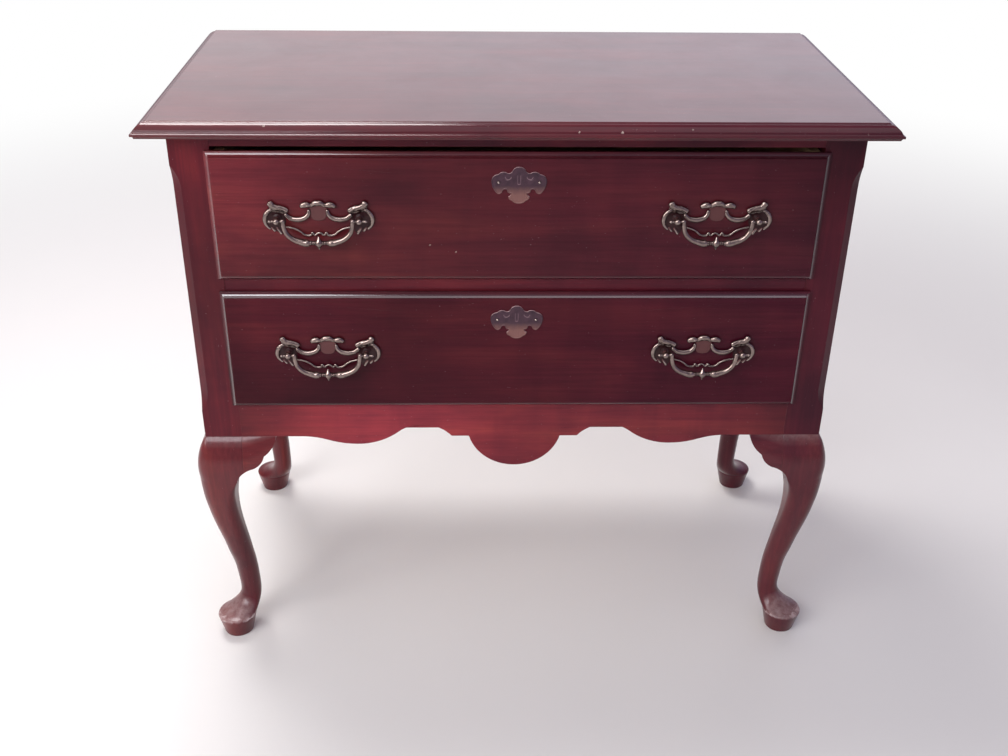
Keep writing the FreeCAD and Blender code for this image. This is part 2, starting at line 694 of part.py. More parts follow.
def column_loft():
    """The leg from under the knee blocks to the rim of its pad foot."""
    knee = value("leg_height - knee_drop")
    ankle = value("ankle_height")
    rim = value("pad_rim_height")
    reach_ankle = -value("ankle_inset")
    reach_knee = value("knee_bulge") * KNEE_SWELL[-1][1]
    reach_pad = value("pad_reach")
    thin = value("ankle_thickness")
    block_corner = KNEE_SWELL[-1][2] * (value("post_size") + reach_knee)
    sections = []
    for share in (1, 0.96, 0.9, 0.82, 0.7, 0.56, 0.42, 0.28, 0.13, 0):
        reach = reach_ankle + (reach_knee - reach_ankle) * ease(share)
        width = thin + (value("thigh_width") - thin) * share ** 1.2
        width += (value("knee_width") - value("thigh_width")) * share ** 8
        rounding = min(0.49, 0.53 - 0.21 * share) * width
        corner = rounding + (block_corner - rounding) * share ** 6
        inner_corner = rounding + (CRISP - rounding) * share ** 6
        sections.append(leg_section(ankle + (knee - ankle) * share, reach, width, corner, inner_corner))
    for share in (0.2, 0.4, 0.55, 0.68, 0.79, 0.88, 0.94, 1):
        flare = min(1, (share / 0.94) ** 3)
        reach = reach_ankle + (reach_pad - reach_ankle) * flare
        width = thin + (value("pad_width") - thin) * flare
        sections.append(round_section(ankle + (rim - ankle) * share, reach, width))
    return Part.makeLoft(sections, True, False)


def pad_base():
    """The underside of the pad foot, in to a smaller round on the floor."""
    reach = value("pad_reach")
    width = value("pad_width")
    taper = (width - value("pad_base_width")) / 2
    rim = round_section(value("pad_rim_height"), reach, width)
    base = round_section(0, reach - taper, width - 2 * taper)
    return Part.makeLoft([rim, base], True, True)


KNEE_TIP = "post_inner - knee_block_width"
KNEE_CUSP = ("post_inner - knee_cusp_in", "leg_height - knee_cusp_drop")
KNEE_NECK = ("post_inner - knee_neck_in", "leg_height - knee_neck_drop")
KNEE_END = f"case_half + knee_bulge * {KNEE_SWELL[-1][1]} - knee_width"
KNEE_LOW = "leg_height - knee_drop"

# The lower edge of a knee block and its leg block in front view, from the cusp to the leg's inner side.
knee_curve = [
    (*KNEE_CUSP, "-knee_lobe_radius"),
    (*KNEE_NECK, "knee_neck_radius"),
    (KNEE_END, KNEE_LOW),
]
leg_waste_outline = [*knee_curve, (KNEE_END, f"{KNEE_LOW} - 5"), (KNEE_CUSP[0], f"{KNEE_LOW} - 5")]
waste_front = prism("leg_waste_front", "XZ", leg_waste_outline, "case_front - 30", "front_post_back + 1")

def turned_to_side(name, source):
    """The mirror image about the upright plane that halves the front right corner."""
    return mirrored(name, source, Vector(1, 1, 0).normalize(), x="case_half", y="case_front")


waste_side = turned_to_side("leg_waste_side", waste_front)
leg_block = cut("leg_block", solid("leg_block_loft", block_loft()), [waste_front, waste_side, dowels])
leg_column = solid("leg_column", column_loft())
leg_pad_base = solid("leg_pad_base", pad_base())
leg = name_node(fused("leg_front_right", [leg_block, leg_column, leg_pad_base]), "leg_front_right")
leg_rear = name_node(mirrored_back("leg_rear_right", leg), "leg_rear_right")
name_node(mirrored("leg_front_left", leg, Vector(1, 0, 0)), "leg_front_left")
name_node(mirrored("leg_rear_left", leg_rear, Vector(1, 0, 0)), "leg_rear_left")

# ---------------------------------------------------------------- knee blocks

# Share of the leg's bulge that is left at the knee block's tip.
TIP_BULGE = 0.45


def knee_block_loft():
    """A knee block before its curved outline is sawn: the leg's bulge, fading out along the apron."""
    seam = value("leg_height")
    front = value("case_front")
    back = value("case_front + knee_block_thickness")
    bulge = value("knee_bulge")
    drop = value("knee_drop")
    sections = []
    for x, fade in ((value("post_inner"), 1), (value(KNEE_TIP) - 1, TIP_BULGE)):
        curve = Part.BSplineCurve()
        curve.interpolate([Vector(x, front - bulge * swell * fade, seam - drop * down)
                           for down, swell, _ in KNEE_SWELL])
        low = Vector(x, back, seam - drop)
        high = Vector(x, back, seam)
        edges = [curve.toShape(), Part.makeLine(curve.EndPoint, low), Part.makeLine(low, high),
                 Part.makeLine(high, curve.StartPoint)]
        sections.append(Part.Wire(edges))
    return Part.makeLoft(sections, True, True)


knee_outline = [(KNEE_TIP, "leg_height", "-knee_cusp_radius"), *knee_curve, (KNEE_END, "leg_height")]
knee_shape = prism("knee_outline", "XZ", knee_outline, "case_front - 30", "front_post_back")
knee_right = name_node(common("front_knee_block_right", solid("knee_loft", knee_block_loft()), knee_shape),
                       "front_knee_block_right")
name_node(mirrored("front_knee_block_left", knee_right, Vector(1, 0, 0)), "front_knee_block_left")
side_knee = turned_to_side("side_knee_front", knee_right)
rear_knee = mirrored_back("side_knee_back", side_knee)
side_knees = name_node(group("side_knee_blocks_right", [side_knee, rear_knee]), "side_knee_blocks_right")
name_node(mirrored("side_knee_blocks_left", side_knees, Vector(1, 0, 0)), "side_knee_blocks_left")

# ---------------------------------------------------------------- shapes of the castings


# Straight stretches of a cast bar between two of its points, and how much wider its end balls are.
BAR_STEPS = 3
BALL_GROWTH = 1.06


def cast_bar(centres, ball_ends=(0, -1)):
    """A rounded bar through points (x, z, distance in front of the back plane, radius).

    Its ends carry balls a little wider than the bar, unless ball_ends leaves one out.
    """
    points = [Vector(x, -lift, z) for x, z, lift, _ in centres]
    curve = Part.BSplineCurve()
    curve.interpolate(points)
    stops = [curve.parameter(point) for point in points]
    rings = []
    for index in range((len(points) - 1) * BAR_STEPS + 1):
        first = min(index // BAR_STEPS, len(points) - 2)
        share = index / BAR_STEPS - first
        stop = stops[first] + (stops[first + 1] - stops[first]) * share
        radius = centres[first][3] + (centres[first + 1][3] - centres[first][3]) * share
        way = curve.tangent(stop)[0]
        lean = math.degrees(math.atan2(way.x, way.z))
        ring = Part.Wire(Part.Circle(Vector(0, 0, 0), Vector(0, 0, 1), radius).toShape())
        ring.rotate(Vector(0, 0, 0), Vector(0, 0, 1), 90)
        ring.rotate(Vector(0, 0, 0), Vector(0, 1, 0), lean)
        ring.translate(curve.value(stop))
        rings.append(ring)
    balls = [Part.makeSphere(centres[end][3] * BALL_GROWTH, points[end]) for end in ball_ends]
    return [Part.makeLoft(rings, True, True), *balls]


def both_sides(shapes):
    """The shapes and their mirror images about the middle plane."""
    return [*shapes, *[shape.mirror(Vector(0, 0, 0), Vector(1, 0, 0)) for shape in shapes]]


def joined(shapes):
    return shapes[0].fuse(shapes[1:])


def thin_plate(wire, thickness):
    """A flat plate from a wire in the back plane, towards the front."""
    return Part.Face(wire).extrude(Vector(0, -thickness, 0))


def closed_curve(points):
    curve = Part.BSplineCurve()
    curve.interpolate([Vector(x, 0, z) for x, z in points], PeriodicFlag=True)
    return Part.Wire(curve.toShape())


def backplate_shape():
    """Pierced rococo backplate about its own middle, its back in the plane y = 0."""
    flat = value("plate_thickness")
    rib = value("plate_relief")
    post_x = value("pull_half_spacing")
    scroll_top = [(post_x - 8.5, 8.5), (post_x - 1, 14.5), (post_x + 7, 13.5), (post_x + 12.5, 8)]
    scroll_low = [(post_x + 13.8, 1), (post_x + 11.5, -5), (post_x + 5, -9), (post_x - 1.5, -13.5),
                  (post_x - 5.5, -12.5), (post_x - 7, -7), (post_x - 9, 0)]
    cartouche = thin_plate(closed_curve(scroll_top + scroll_low), flat)
    keystone = thin_plate(closed_curve([(0, 1.2), (6, 2.8), (8.6, 8), (9.4, 15), (7, 20), (0, 22.5),
                                        (-7, 20), (-9.4, 15), (-8.6, 8), (-6, 2.8)]), flat)
    swag = cast_bar([(post_x - 9.5, 8.8, rib, 1.7), (post_x - 15.5, 4.7, rib, 1.9), (21.5, 3.1, rib, 2.1),
                     (14.5, 4.8, rib, 1.9), (10.4, 9.4, rib, 1.6), (9.6, 15, rib, 1.3)])
    leaf = cast_bar([(post_x - 10.2, 12.4, rib, 2), (post_x - 5.5, 14.2, rib, 2.7),
                     (post_x + 0.5, 15.6, rib, 2.9), (post_x + 4.4, 18.2, rib, 2.6),
                     (post_x + 6.2, 21.6, rib, 2.5)])
    scroll = cast_bar([(post_x + 5.5, 14.5, rib, 1.6), (post_x + 11.2, 10.4, rib, 2),
                       (post_x + 13.9, 4.2, rib, 2), (post_x + 12.9, -1.8, rib, 1.7),
                       (post_x + 10, -6.4, rib, 1.5)])
    buds = [Part.makeSphere(radius, Vector(post_x + x, -flat, z))
            for x, z, radius in ((-2.6, -12.8, 2.3), (4, -9.6, 2.1))]
    low_rim = cast_bar([(post_x - 8, -5.2, rib, 1.1), (post_x - 13.7, -6.3, rib, 1.1),
                        (post_x - 19.3, -8.7, rib, 1.1), (19.6, -12.4, rib, 1.1), (13.8, -15.1, rib, 1.2),
                        (9.4, -15, rib, 1.2), (6.3, -12.9, rib, 1.1), (3.8, -14.4, rib, 1.1),
                        (0, -12.8, rib, 1.3)])
    crest = cast_bar([(0, 22.6, rib, 2.4), (4.6, 21.4, rib, 2.1), (8.8, 19, rib, 1.7),
                      (13.4, 20.4, rib, 2.5), (17, 18.8, rib, 2)])
    parts = [keystone] + both_sides([cartouche, *swag, *leaf, *scroll, *buds, *low_rim, *crest])
    plate = joined(parts)
    behind = Part.makeBox(200, 20, 100, Vector(-100, 0, -50))
    bores = [Part.makeCylinder(value("post_shank_radius"), 20, Vector(x, 5, value("plate_drop")),
                               Vector(0, -1, 0)) for x in (-post_x, post_x)]
    return plate.cut([behind, *bores])


def bail_shape():
    """Swinging bail about the middle of its pins, hanging."""
    post_x = value("pull_half_spacing")
    ball = value("post_ball_radius")
    low = -value("bail_drop")
    pin = value("pin_radius")
    shoulder = post_x - ball - 2.8
    arm = cast_bar([(shoulder, 0.4, 0, 2), (shoulder - 0.6, -4, 0, 2.1), (shoulder - 2.5, -10.2, 0, 2.3),
                    (shoulder - 7, -17.6, 0, 2.5), (shoulder - 14.5, low + 2.2, 0, 2.7),
                    (13.2, low, 0, 3.2), (8.4, low, 0, 2.4)], ball_ends=(0,))
    pin_bar = Part.makeCylinder(pin, 2 * ball + 4.4, Vector(shoulder, 0, 0), Vector(1, 0, 0))
    bead = Part.makeSphere(pin * 1.5, Vector(post_x + ball + 2.8, 0, 0))
    collars = [Part.makeCylinder(radius, 1.3, Vector(x, 0, low), Vector(1, 0, 0))
               for x, radius in ((4.6, 2.9), (7.4, 3))]
    neck = Part.makeCylinder(2, 16, Vector(-8, 0, low), Vector(1, 0, 0))
    drop = cast_bar([(0, low + 7, 0, 0.8), (0, low + 4.6, 0, 1.6), (0, low, 0, 3.3), (0, low - 4, 0, 2.1),
                     (0, low - 6.2, 0, 0.9)])
    return joined([neck, *both_sides([*arm, pin_bar, bead, *collars]), *drop])


def post_shape():
    """Pull post about the middle of the bail's pins, its shank running back through the drawer front."""
    reach = value("post_reach")
    plate = value("plate_thickness")
    collar = 1.6
    shank_end = value("front_thickness") + value("nut_thickness") + value("nut_end")
    back = Vector(0, 1, 0)
    parts = [
        Part.makeSphere(value("post_ball_radius"), Vector(0, 0, 0)),
        Part.makeCylinder(value("post_neck_radius"), reach - plate, Vector(0, 0, 0), back),
        Part.makeCone(value("post_flange_radius") - 1.5, value("post_flange_radius"), collar,
                      Vector(0, reach - plate - collar, 0), back),
        Part.makeCylinder(value("post_shank_radius"), reach + shank_end, Vector(0, 0, 0), back),
    ]
    eye = value("pin_radius + pin_clearance")
    bore = Part.makeCylinder(eye, 30, Vector(-15, 0, 0), Vector(1, 0, 0))
    return joined(parts).cut(bore)


def nut_shape():
    """Hexagonal nut, one face in the plane y = 0."""
    corners = [Vector(math.sin(turn), 0, math.cos(turn)) * value("nut_radius")
               for turn in [math.radians(60 * step) for step in range(7)]]
    hexagon = Part.Face(Part.makePolygon(corners)).extrude(Vector(0, value("nut_thickness"), 0))
    return hexagon.cut(Part.makeCylinder(value("post_shank_radius"), 10, Vector(0, 0, 0), Vector(0, 1, 0)))


# Half outline of the escutcheon from the top of its crest down: corner, then a point on the arc
# to the next corner. X from the middle, Z from the nails' height.
ESCUTCHEON = [
    ((0, 17), (3.8, 16.1)), ((6.9, 13), (9, 10.4)), ((12, 9.8), (17.5, 11.4)), ((22, 8.8), (27.2, 6.5)),
    ((29.4, 1.8), (28.2, -5)), ((24.5, -11.3), (21.4, -13.1)), ((17.8, -10.4), (15.6, -8)),
    ((12.6, -8.6), (11.2, -11.8)), ((8.4, -12.4), (9.4, -14.6)), ((11.3, -15.9), (10.2, -19)),
    ((7.4, -20.5), (4.4, -23)), ((0, -23.8), None),
]


def escutcheon_shape():
    """Flat shaped plate with its back in the plane y = 0, bored for two nails."""
    edges = []
    for (corner, bend), (following, _) in zip(ESCUTCHEON, ESCUTCHEON[1:]):
        for side in (1, -1):
            stops = [Vector(side * x, 0, z) for x, z in (corner, bend, following)]
            edges.append(Part.Arc(*stops).toShape())
    plate = thin_plate(Part.Wire(Part.__sortEdges__(edges)), value("escutcheon_thickness"))
    spread = value("nail_spread")
    return plate.cut([Part.makeCylinder(value("nail_radius"), 10, Vector(x, 5, 0), Vector(0, -1, 0))
                      for x in (-spread, spread)])


def nail_shape():
    """Round-headed nail, the underside of its head in the plane y = 0."""
    head = Part.makeSphere(value("nail_head_radius"), Vector(0, 0, 0), Vector(0, -1, 0), 0, 90)
    shank = Part.makeCylinder(value("nail_radius"), value("nail_length + escutcheon_thickness"),
                              Vector(0, 0, 0), Vector(0, 1, 0))
    return joined([head, shank])


def fitted(name, shape, x, y, z):
    """A casting in its place on a drawer."""
    casting = solid(name, shape)
    place(casting, x, y, z)
    return casting


# ---------------------------------------------------------------- drawers


def moulding_waste(across):
    """Waste in front of the moulding round a drawer front; across(inset) places a distance in."""
    return [
        (across("0"), "lip_back - mould_edge", "-mould_radius"),
        (across("mould_width"), "face + mould_step"),
        (across("mould_width"), "face - 2"),
        (across("-2"), "face - 2"),
        (across("-2"), "lip_back - mould_edge"),
    ]


def swapped(corners):
    """An outline drawn across then along, as along then across."""
    return [(v, u, *(f"-({r})" for r in radius)) for u, v, *radius in corners]


def tailed_side(name, bottom, tail_count=5):
    """Right drawer side before its grooves: dovetails run into the drawer front."""
    top = f"{bottom} + box_height"
    corners = [("front_back", bottom), ("box_back", bottom), ("box_back", top), ("front_back", top)]
    root = "front_back"
    end = "front_back - dovetail_depth"
    for step in range(tail_count - 1, -1, -1):
        centre = f"{bottom} + box_height / 2 + dovetail_pitch * ({step} - {(tail_count - 1) / 2})"
        wide = "dovetail_width / 2"
        narrow = "(dovetail_width / 2 - dovetail_flare)"
        corners += [(root, f"{centre} + {narrow}"), (end, f"{centre} + {wide}"),
                    (end, f"{centre} - {wide}"), (root, f"{centre} - {narrow}")]
    return prism(name, "YZ", corners, "board_inner", "box_half")


def drawer(prefix, floor):
    """A lipped drawer that runs on the given floor, with its pulls and its escutcheon."""
    bottom = f"{floor} + run_gap"
    low = f"{bottom} - lip_below"
    high = f"{bottom} + box_height + lip_above"
    panel_low = f"{bottom} + bottom_rise"
    panel_high = f"{panel_low} + bottom_thickness"
    back_face = "box_back - back_inset"
    pins_z = f"{bottom} + pull_height"
    nails_z = f"{bottom} + escutcheon_height"

    panel_half = "(board_inner + bottom_groove)"
    back_half = "(board_inner + back_housing)"
    panel = block(f"{prefix}_drawer_bottom", (f"-{panel_half}", panel_half),
                  ("front_back - bottom_groove", back_face), (panel_low, panel_high))
    name_node(panel, f"{prefix}_drawer_bottom")
    back = block(f"{prefix}_drawer_back", (f"-{back_half}", back_half),
                 (f"{back_face} - board_thickness", back_face),
                 (panel_high, f"{bottom} + box_height - back_lower"))
    name_node(back, f"{prefix}_drawer_back")
    side_board = tailed_side(f"{prefix}_side_board", bottom)
    side_right = cut(f"{prefix}_drawer_side_right", side_board, [panel, back])
    name_node(side_right, f"{prefix}_drawer_side_right")
    side_left = mirrored(f"{prefix}_drawer_side_left", side_right, Vector(1, 0, 0))
    name_node(side_left, f"{prefix}_drawer_side_left")

    posts = []
    nuts = []
    shanks = []
    for side, hand in ((-1, "left"), (1, "right")):
        centre = f"{side} * pull_centre"
        place_y = "face - post_reach"
        for post_side in (-1, 1):
            x = f"{centre} + {post_side} * pull_half_spacing"
            tag = f"{prefix}_{hand}_{'outer' if side == post_side else 'inner'}"
            posts.append(fitted(f"{tag}_post", post_shape(), x, place_y, pins_z))
            nuts.append(fitted(f"{tag}_nut", nut_shape(), x, "front_back", pins_z))
            shanks.append(rod(f"{tag}_bore", x, "front_back + 1", pins_z, "post_shank_radius",
                              "front_thickness + 2", Vector(0, -1, 0)))
        plate = fitted(f"{prefix}_backplate_{hand}", backplate_shape(), centre, "face",
                       f"{pins_z} - plate_drop")
        name_node(plate, f"{prefix}_backplate_{hand}")
        bail = fitted(f"{prefix}_bail_{hand}", bail_shape(), centre, place_y, pins_z)
        name_node(bail, f"{prefix}_bail_{hand}")
    name_node(group(f"{prefix}_pull_posts", posts), f"{prefix}_pull_posts")
    name_node(group(f"{prefix}_pull_nuts", nuts), f"{prefix}_pull_nuts")

    escutcheon = fitted(f"{prefix}_escutcheon", escutcheon_shape(), "0", "face", nails_z)
    name_node(escutcheon, f"{prefix}_escutcheon")
    nails = [fitted(f"{prefix}_nail_{hand}", nail_shape(), x, "face - escutcheon_thickness", nails_z)
             for hand, x in (("left", "-nail_spread"), ("right", "nail_spread"))]
    name_node(group(f"{prefix}_escutcheon_nails", nails), f"{prefix}_escutcheon_nails")

    lip = block(f"{prefix}_lip_blank", ("-lip_half", "lip_half"), ("face", "lip_back"), (low, high))
    inner = block(f"{prefix}_front_inner", ("-box_half", "box_half"), ("lip_back", "front_back"),
                  (bottom, f"{bottom} + box_height"))
    upright = moulding_waste(lambda inset: f"lip_half - ({inset})")
    waste_right = prism(f"{prefix}_mould_right", "XY", upright, f"{low} - 3", f"{high} + 3")
    waste_left = mirrored(f"{prefix}_mould_left", waste_right, Vector(1, 0, 0))
    wastes = [waste_right, waste_left]
    for edge, inward in ((high, -1), (low, 1)):
        profile = swapped(moulding_waste(lambda inset: f"{edge} + {inward} * ({inset})"))
        tag = "high" if inward < 0 else "low"
        wastes.append(prism(f"{prefix}_mould_{tag}", "YZ", profile, "-lip_half - 3", "lip_half + 3"))
    lip_board = cut(f"{prefix}_lip", lip, wastes)
    front = cut(f"{prefix}_drawer_front", fused(f"{prefix}_front_board", [lip_board, inner]),
                [side_right, side_left, panel, *shanks, *nails])
    name_node(front, f"{prefix}_drawer_front")


drawer("upper", "upper_floor")
drawer("lower", "lower_floor")

# ---------------------------------------------------------------- checks and export

doc.recompute()
for obj in doc.Objects:
    bad = [state for state in obj.State if state in ("Invalid", "Error")]
    if bad:
        raise RuntimeError(f"{obj.Name} ({obj.Label}) is {bad}")
os.makedirs("parts", exist_ok=True)
for node in NODES:
    shape = node.Shape
    if shape.isNull() or not shape.isValid() or not shape.Solids:
        raise RuntimeError(f"{node.Label} has no valid solid")
for node in NODES:
    node.Shape.exportStep(f"parts/{node.Label}.step")
print(len(NODES), "parts written")
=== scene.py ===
import json
import math
import random

import bmesh
import bpy
from mathutils import Matrix, Vector


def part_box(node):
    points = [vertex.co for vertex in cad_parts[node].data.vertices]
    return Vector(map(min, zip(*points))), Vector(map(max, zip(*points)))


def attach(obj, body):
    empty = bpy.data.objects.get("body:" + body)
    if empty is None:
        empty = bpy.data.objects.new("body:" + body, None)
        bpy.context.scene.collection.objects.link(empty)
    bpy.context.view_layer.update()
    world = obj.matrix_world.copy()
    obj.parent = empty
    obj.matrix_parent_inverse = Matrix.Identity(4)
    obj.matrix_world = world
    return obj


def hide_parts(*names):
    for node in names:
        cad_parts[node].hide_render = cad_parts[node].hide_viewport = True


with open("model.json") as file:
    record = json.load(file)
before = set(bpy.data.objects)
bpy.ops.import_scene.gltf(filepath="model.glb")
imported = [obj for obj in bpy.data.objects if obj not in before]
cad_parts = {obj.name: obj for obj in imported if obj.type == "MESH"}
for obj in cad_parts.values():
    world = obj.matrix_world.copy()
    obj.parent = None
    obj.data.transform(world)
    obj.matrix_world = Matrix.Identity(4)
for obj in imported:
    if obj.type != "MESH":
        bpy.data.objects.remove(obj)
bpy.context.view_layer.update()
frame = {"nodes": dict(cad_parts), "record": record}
nodes = frame["nodes"]
MM = 0.001
random.seed(7)

# ---------------------------------------------------------------- node helpers


class Nodes:
    """A small writer of shader nodes in one node tree."""

    def __init__(self, tree):
        self.tree = tree
        tree.nodes.clear()

    def node(self, kind, **values):
        made = self.tree.nodes.new(kind)
        for key, value in values.items():
            setattr(made, key, value)
        return made

    def link(self, source, target):
        """Joins a socket to an input, or sets the input to a constant."""
        if isinstance(source, bpy.types.NodeSocket):
            self.tree.links.new(source, target)
        else:
            target.default_value = source

    def here(self):
        """The place in the object's own space, in metres."""
        return self.node("ShaderNodeTexCoord").outputs["Object"]

    def split(self, vector):
        """Outputs X, Y and Z of a vector."""
        made = self.node("ShaderNodeSeparateXYZ")
        self.link(vector, made.inputs[0])
        return made.outputs

    def facing(self):
        """Outputs X, Y and Z of the surface's normal."""
        return self.split(self.node("ShaderNodeNewGeometry").outputs["Normal"])

    def distance(self, point):
        """Metres from a point of the object's own space."""
        made = self.node("ShaderNodeVectorMath", operation="DISTANCE")
        self.link(self.here(), made.inputs[0])
        made.inputs[1].default_value = point
        return made.outputs["Value"]

    def noise(self, scale, detail, roughness, distortion=0.0, offset=(0, 0, 0)):
        """Noise over the object's own space; scale is one number, or one for each axis."""
        mapping = self.node("ShaderNodeMapping")
        mapping.inputs["Scale"].default_value = scale if isinstance(scale, tuple) else (scale,) * 3
        mapping.inputs["Location"].default_value = offset
        self.link(self.here(), mapping.inputs["Vector"])
        made = self.node("ShaderNodeTexNoise")
        self.link(mapping.outputs[0], made.inputs["Vector"])
        made.inputs["Scale"].default_value = 1.0
        made.inputs["Detail"].default_value = detail
        made.inputs["Roughness"].default_value = roughness
        made.inputs["Distortion"].default_value = distortion
        return made.outputs["Fac"]

    def ramp(self, value, stops, smooth=False):
        """Colours, or plain numbers, at places from 0 to 1."""
        made = self.node("ShaderNodeValToRGB")
        if smooth:
            made.color_ramp.interpolation = "EASE"
        elements = made.color_ramp.elements
        while len(elements) < len(stops):
            elements.new(0.5)
        for element, (place, colour) in zip(elements, stops):
            element.position = place
            if not isinstance(colour, tuple):
                colour = (colour, colour, colour)
            element.color = (*colour, 1)
        self.link(value, made.inputs[0])
        return made.outputs[0]

    def span(self, value, low, high, to_low=0.0, to_high=1.0, smooth=False):
        """Maps low..high to to_low..to_high and holds the ends."""
        made = self.node("ShaderNodeMapRange", clamp=True)
        if smooth:
            made.interpolation_type = "SMOOTHSTEP"
        self.link(value, made.inputs["Value"])
        limits = (("From Min", low), ("From Max", high), ("To Min", to_low), ("To Max", to_high))
        for key, limit in limits:
            made.inputs[key].default_value = limit
        return made.outputs[0]

    def math(self, operation, first, second=0.0):
        made = self.node("ShaderNodeMath", operation=operation)
        self.link(first, made.inputs[0])
        self.link(second, made.inputs[1])
        return made.outputs[0]

    def times(self, first, *factors):
        for factor in factors:
            first = self.math("MULTIPLY", first, factor)
        return first

    def apart(self, value, middle):
        """How far a value is from a middle, to either side."""
        return self.math("ABSOLUTE", self.math("SUBTRACT", value, middle))

    def mix(self, factor, first, second, blend="MIX"):
        made = self.node("ShaderNodeMix", data_type="RGBA", blend_type=blend)
        self.link(factor, made.inputs[0])
        self.link(first if not isinstance(first, tuple) else (*first, 1), made.inputs[6])
        self.link(second if not isinstance(second, tuple) else (*second, 1), made.inputs[7])
        return made.outputs[2]

    def over(self, share, under, top):
        """One shader laid over another by a share; returns the result's socket."""
        made = self.node("ShaderNodeMixShader")
        self.link(share, made.inputs[0])
        self.link(under, made.inputs[1])
        self.link(top, made.inputs[2])
        return made.outputs[0]


class Finish(Nodes):
    """The nodes of one material, round a Principled shader."""

    def __init__(self, name):
        self.material = bpy.data.materials.new(name)
        self.material.use_nodes = True
        super().__init__(self.material.node_tree)
        self.out = self.node("ShaderNodeOutputMaterial")
        self.shader = self.node("ShaderNodeBsdfPrincipled")
        self.link(self.shader.outputs[0], self.out.inputs["Surface"])

    def set(self, **inputs):
        """Inputs of the shader, with _ for each space in their names."""
        for key, value in inputs.items():
            self.link(value, self.shader.inputs[key.replace("_", " ")])

    def rounded(self, radius):
        """The normal with edges rounded off."""
        made = self.node("ShaderNodeBevel", samples=6)
        made.inputs["Radius"].default_value = radius
        return made.outputs[0]

    def edge(self, radius, low, high):
        """0 on flat ground, rising to 1 along sharp edges."""
        dot = self.node("ShaderNodeVectorMath", operation="DOT_PRODUCT")
        self.link(self.rounded(radius), dot.inputs[0])
        self.link(self.node("ShaderNodeNewGeometry").outputs["Normal"], dot.inputs[1])
        return self.span(self.math("SUBTRACT", 1.0, dot.outputs["Value"]), low, high)

    def bump(self, layers, softened=0.0):
        """Bumps stacked from (height, strength, distance), over edges rounded by softened."""
        normal = self.rounded(softened) if softened else None
        for height, strength, distance in layers:
            made = self.node("ShaderNodeBump")
            made.inputs["Strength"].default_value = strength
            made.inputs["Distance"].default_value = distance
            self.link(height, made.inputs["Height"])
            if normal is not None:
                self.link(normal, made.inputs["Normal"])
            normal = made.outputs[0]
        self.set(Normal=normal)
        return normal

    def near(self, spots):
        """1 within ragged spots (x, y, z, radius) in metres of the object's own space."""
        total = None
        for *place, radius in spots:
            inside = self.math("SUBTRACT", radius, self.distance(place))
            total = inside if total is None else self.math("MAXIMUM", total, inside)
        ragged = self.times(self.math("SUBTRACT", self.noise(900, 3, 0.6), 0.5), 4 * MM)
        return self.span(self.math("ADD", total, ragged), -0.1 * MM, 0.2 * MM)


def along_grain(axis, length, across):
    """Noise scale that stretches a texture along one axis."""
    scale = [across, across, across]
    scale["XYZ".index(axis)] = length
    return tuple(scale)


# ---------------------------------------------------------------- wood

CASE_HALF = 0.36
# The top of the front knee blocks.
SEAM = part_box("front_knee_block_left")[1].z
# Heights between which the rim of a front foot's pad is worn, and below which dust and a painted sheen lie.
PAD_RIM = (0.0256, 0.0284)
DUST_SHEEN_BELOW = 0.075

WORN_EDGE = (0.22, 0.07, 0.06)
CHIPPED = (0.46, 0.34, 0.30)
CHIPPED_RIM = (0.60, 0.48, 0.47)
DUST_AND_SHEEN = (0.40, 0.29, 0.28)
DUST_SPECK = (0.36, 0.26, 0.28)

# Painted light and shade: multipliers of the wood's colour at the left and right ends of the case.
PAINTED_SIDE_LIGHT = ((1.04, 1.0, 1.0), (0.80, 0.86, 1.10))


def stained(t, axis, offset, tone, green, cloudy):
    """The colour of the stained wood, and its finest grain."""
    fine = t.noise(along_grain(axis, 9, 260), 5, 0.62, 0.15, offset)
    figure = t.noise(along_grain(axis, 2.6, 21), 4, 0.55, 0.8, offset)
    blotch = t.noise(along_grain(axis, 4.2, 9), 4, 0.6, 0.4, offset)
    cross = t.noise(along_grain(axis, 22, 3.5), 3, 0.5, 0.6, offset)
    colour = t.ramp(figure, [(0.30, (0.068 * tone, 0.0030 * tone * green, 0.0105 * tone)),
                             (0.50, (0.092 * tone, 0.0042 * tone * green, 0.0130 * tone)),
                             (0.70, (0.122 * tone, 0.0070 * tone * green, 0.0155 * tone))])
    streaks = t.ramp(fine, [(0.36, (0.80, 0.78, 0.80)), (0.62, (1.08, 1.06, 1.04))])
    colour = t.mix(0.8, colour, streaks, "MULTIPLY")
    clouds = t.ramp(blotch, [(0.32, (0.58, 0.60, 0.76)), (0.52, (1.0, 1.0, 1.0)), (0.70, (1.42, 1.55, 1.22))],
                    smooth=True)
    colour = t.mix(cloudy, colour, clouds, "MULTIPLY")
    curl = t.ramp(cross, [(0.35, (0.88, 0.86, 0.90)), (0.65, (1.12, 1.14, 1.06))], smooth=True)
    return t.mix(0.9 * cloudy, colour, curl, "MULTIPLY"), fine


def painted_shading(t, colour, patches, fade):
    """Painted light and shade: lighter and darker patches of (x, y, z, radius, gain), and a change from left
    to right.
    """
    for *place, radius, gain in patches:
        level = t.span(t.distance(place), 0.0, radius, gain, 1.0, smooth=True)
        colour = t.mix(1.0, colour, level, "MULTIPLY")
    left, right = fade
    across = t.span(t.split(t.here())["X"], -CASE_HALF, CASE_HALF)
    return t.mix(1.0, colour, t.mix(across, left, right), "MULTIPLY")


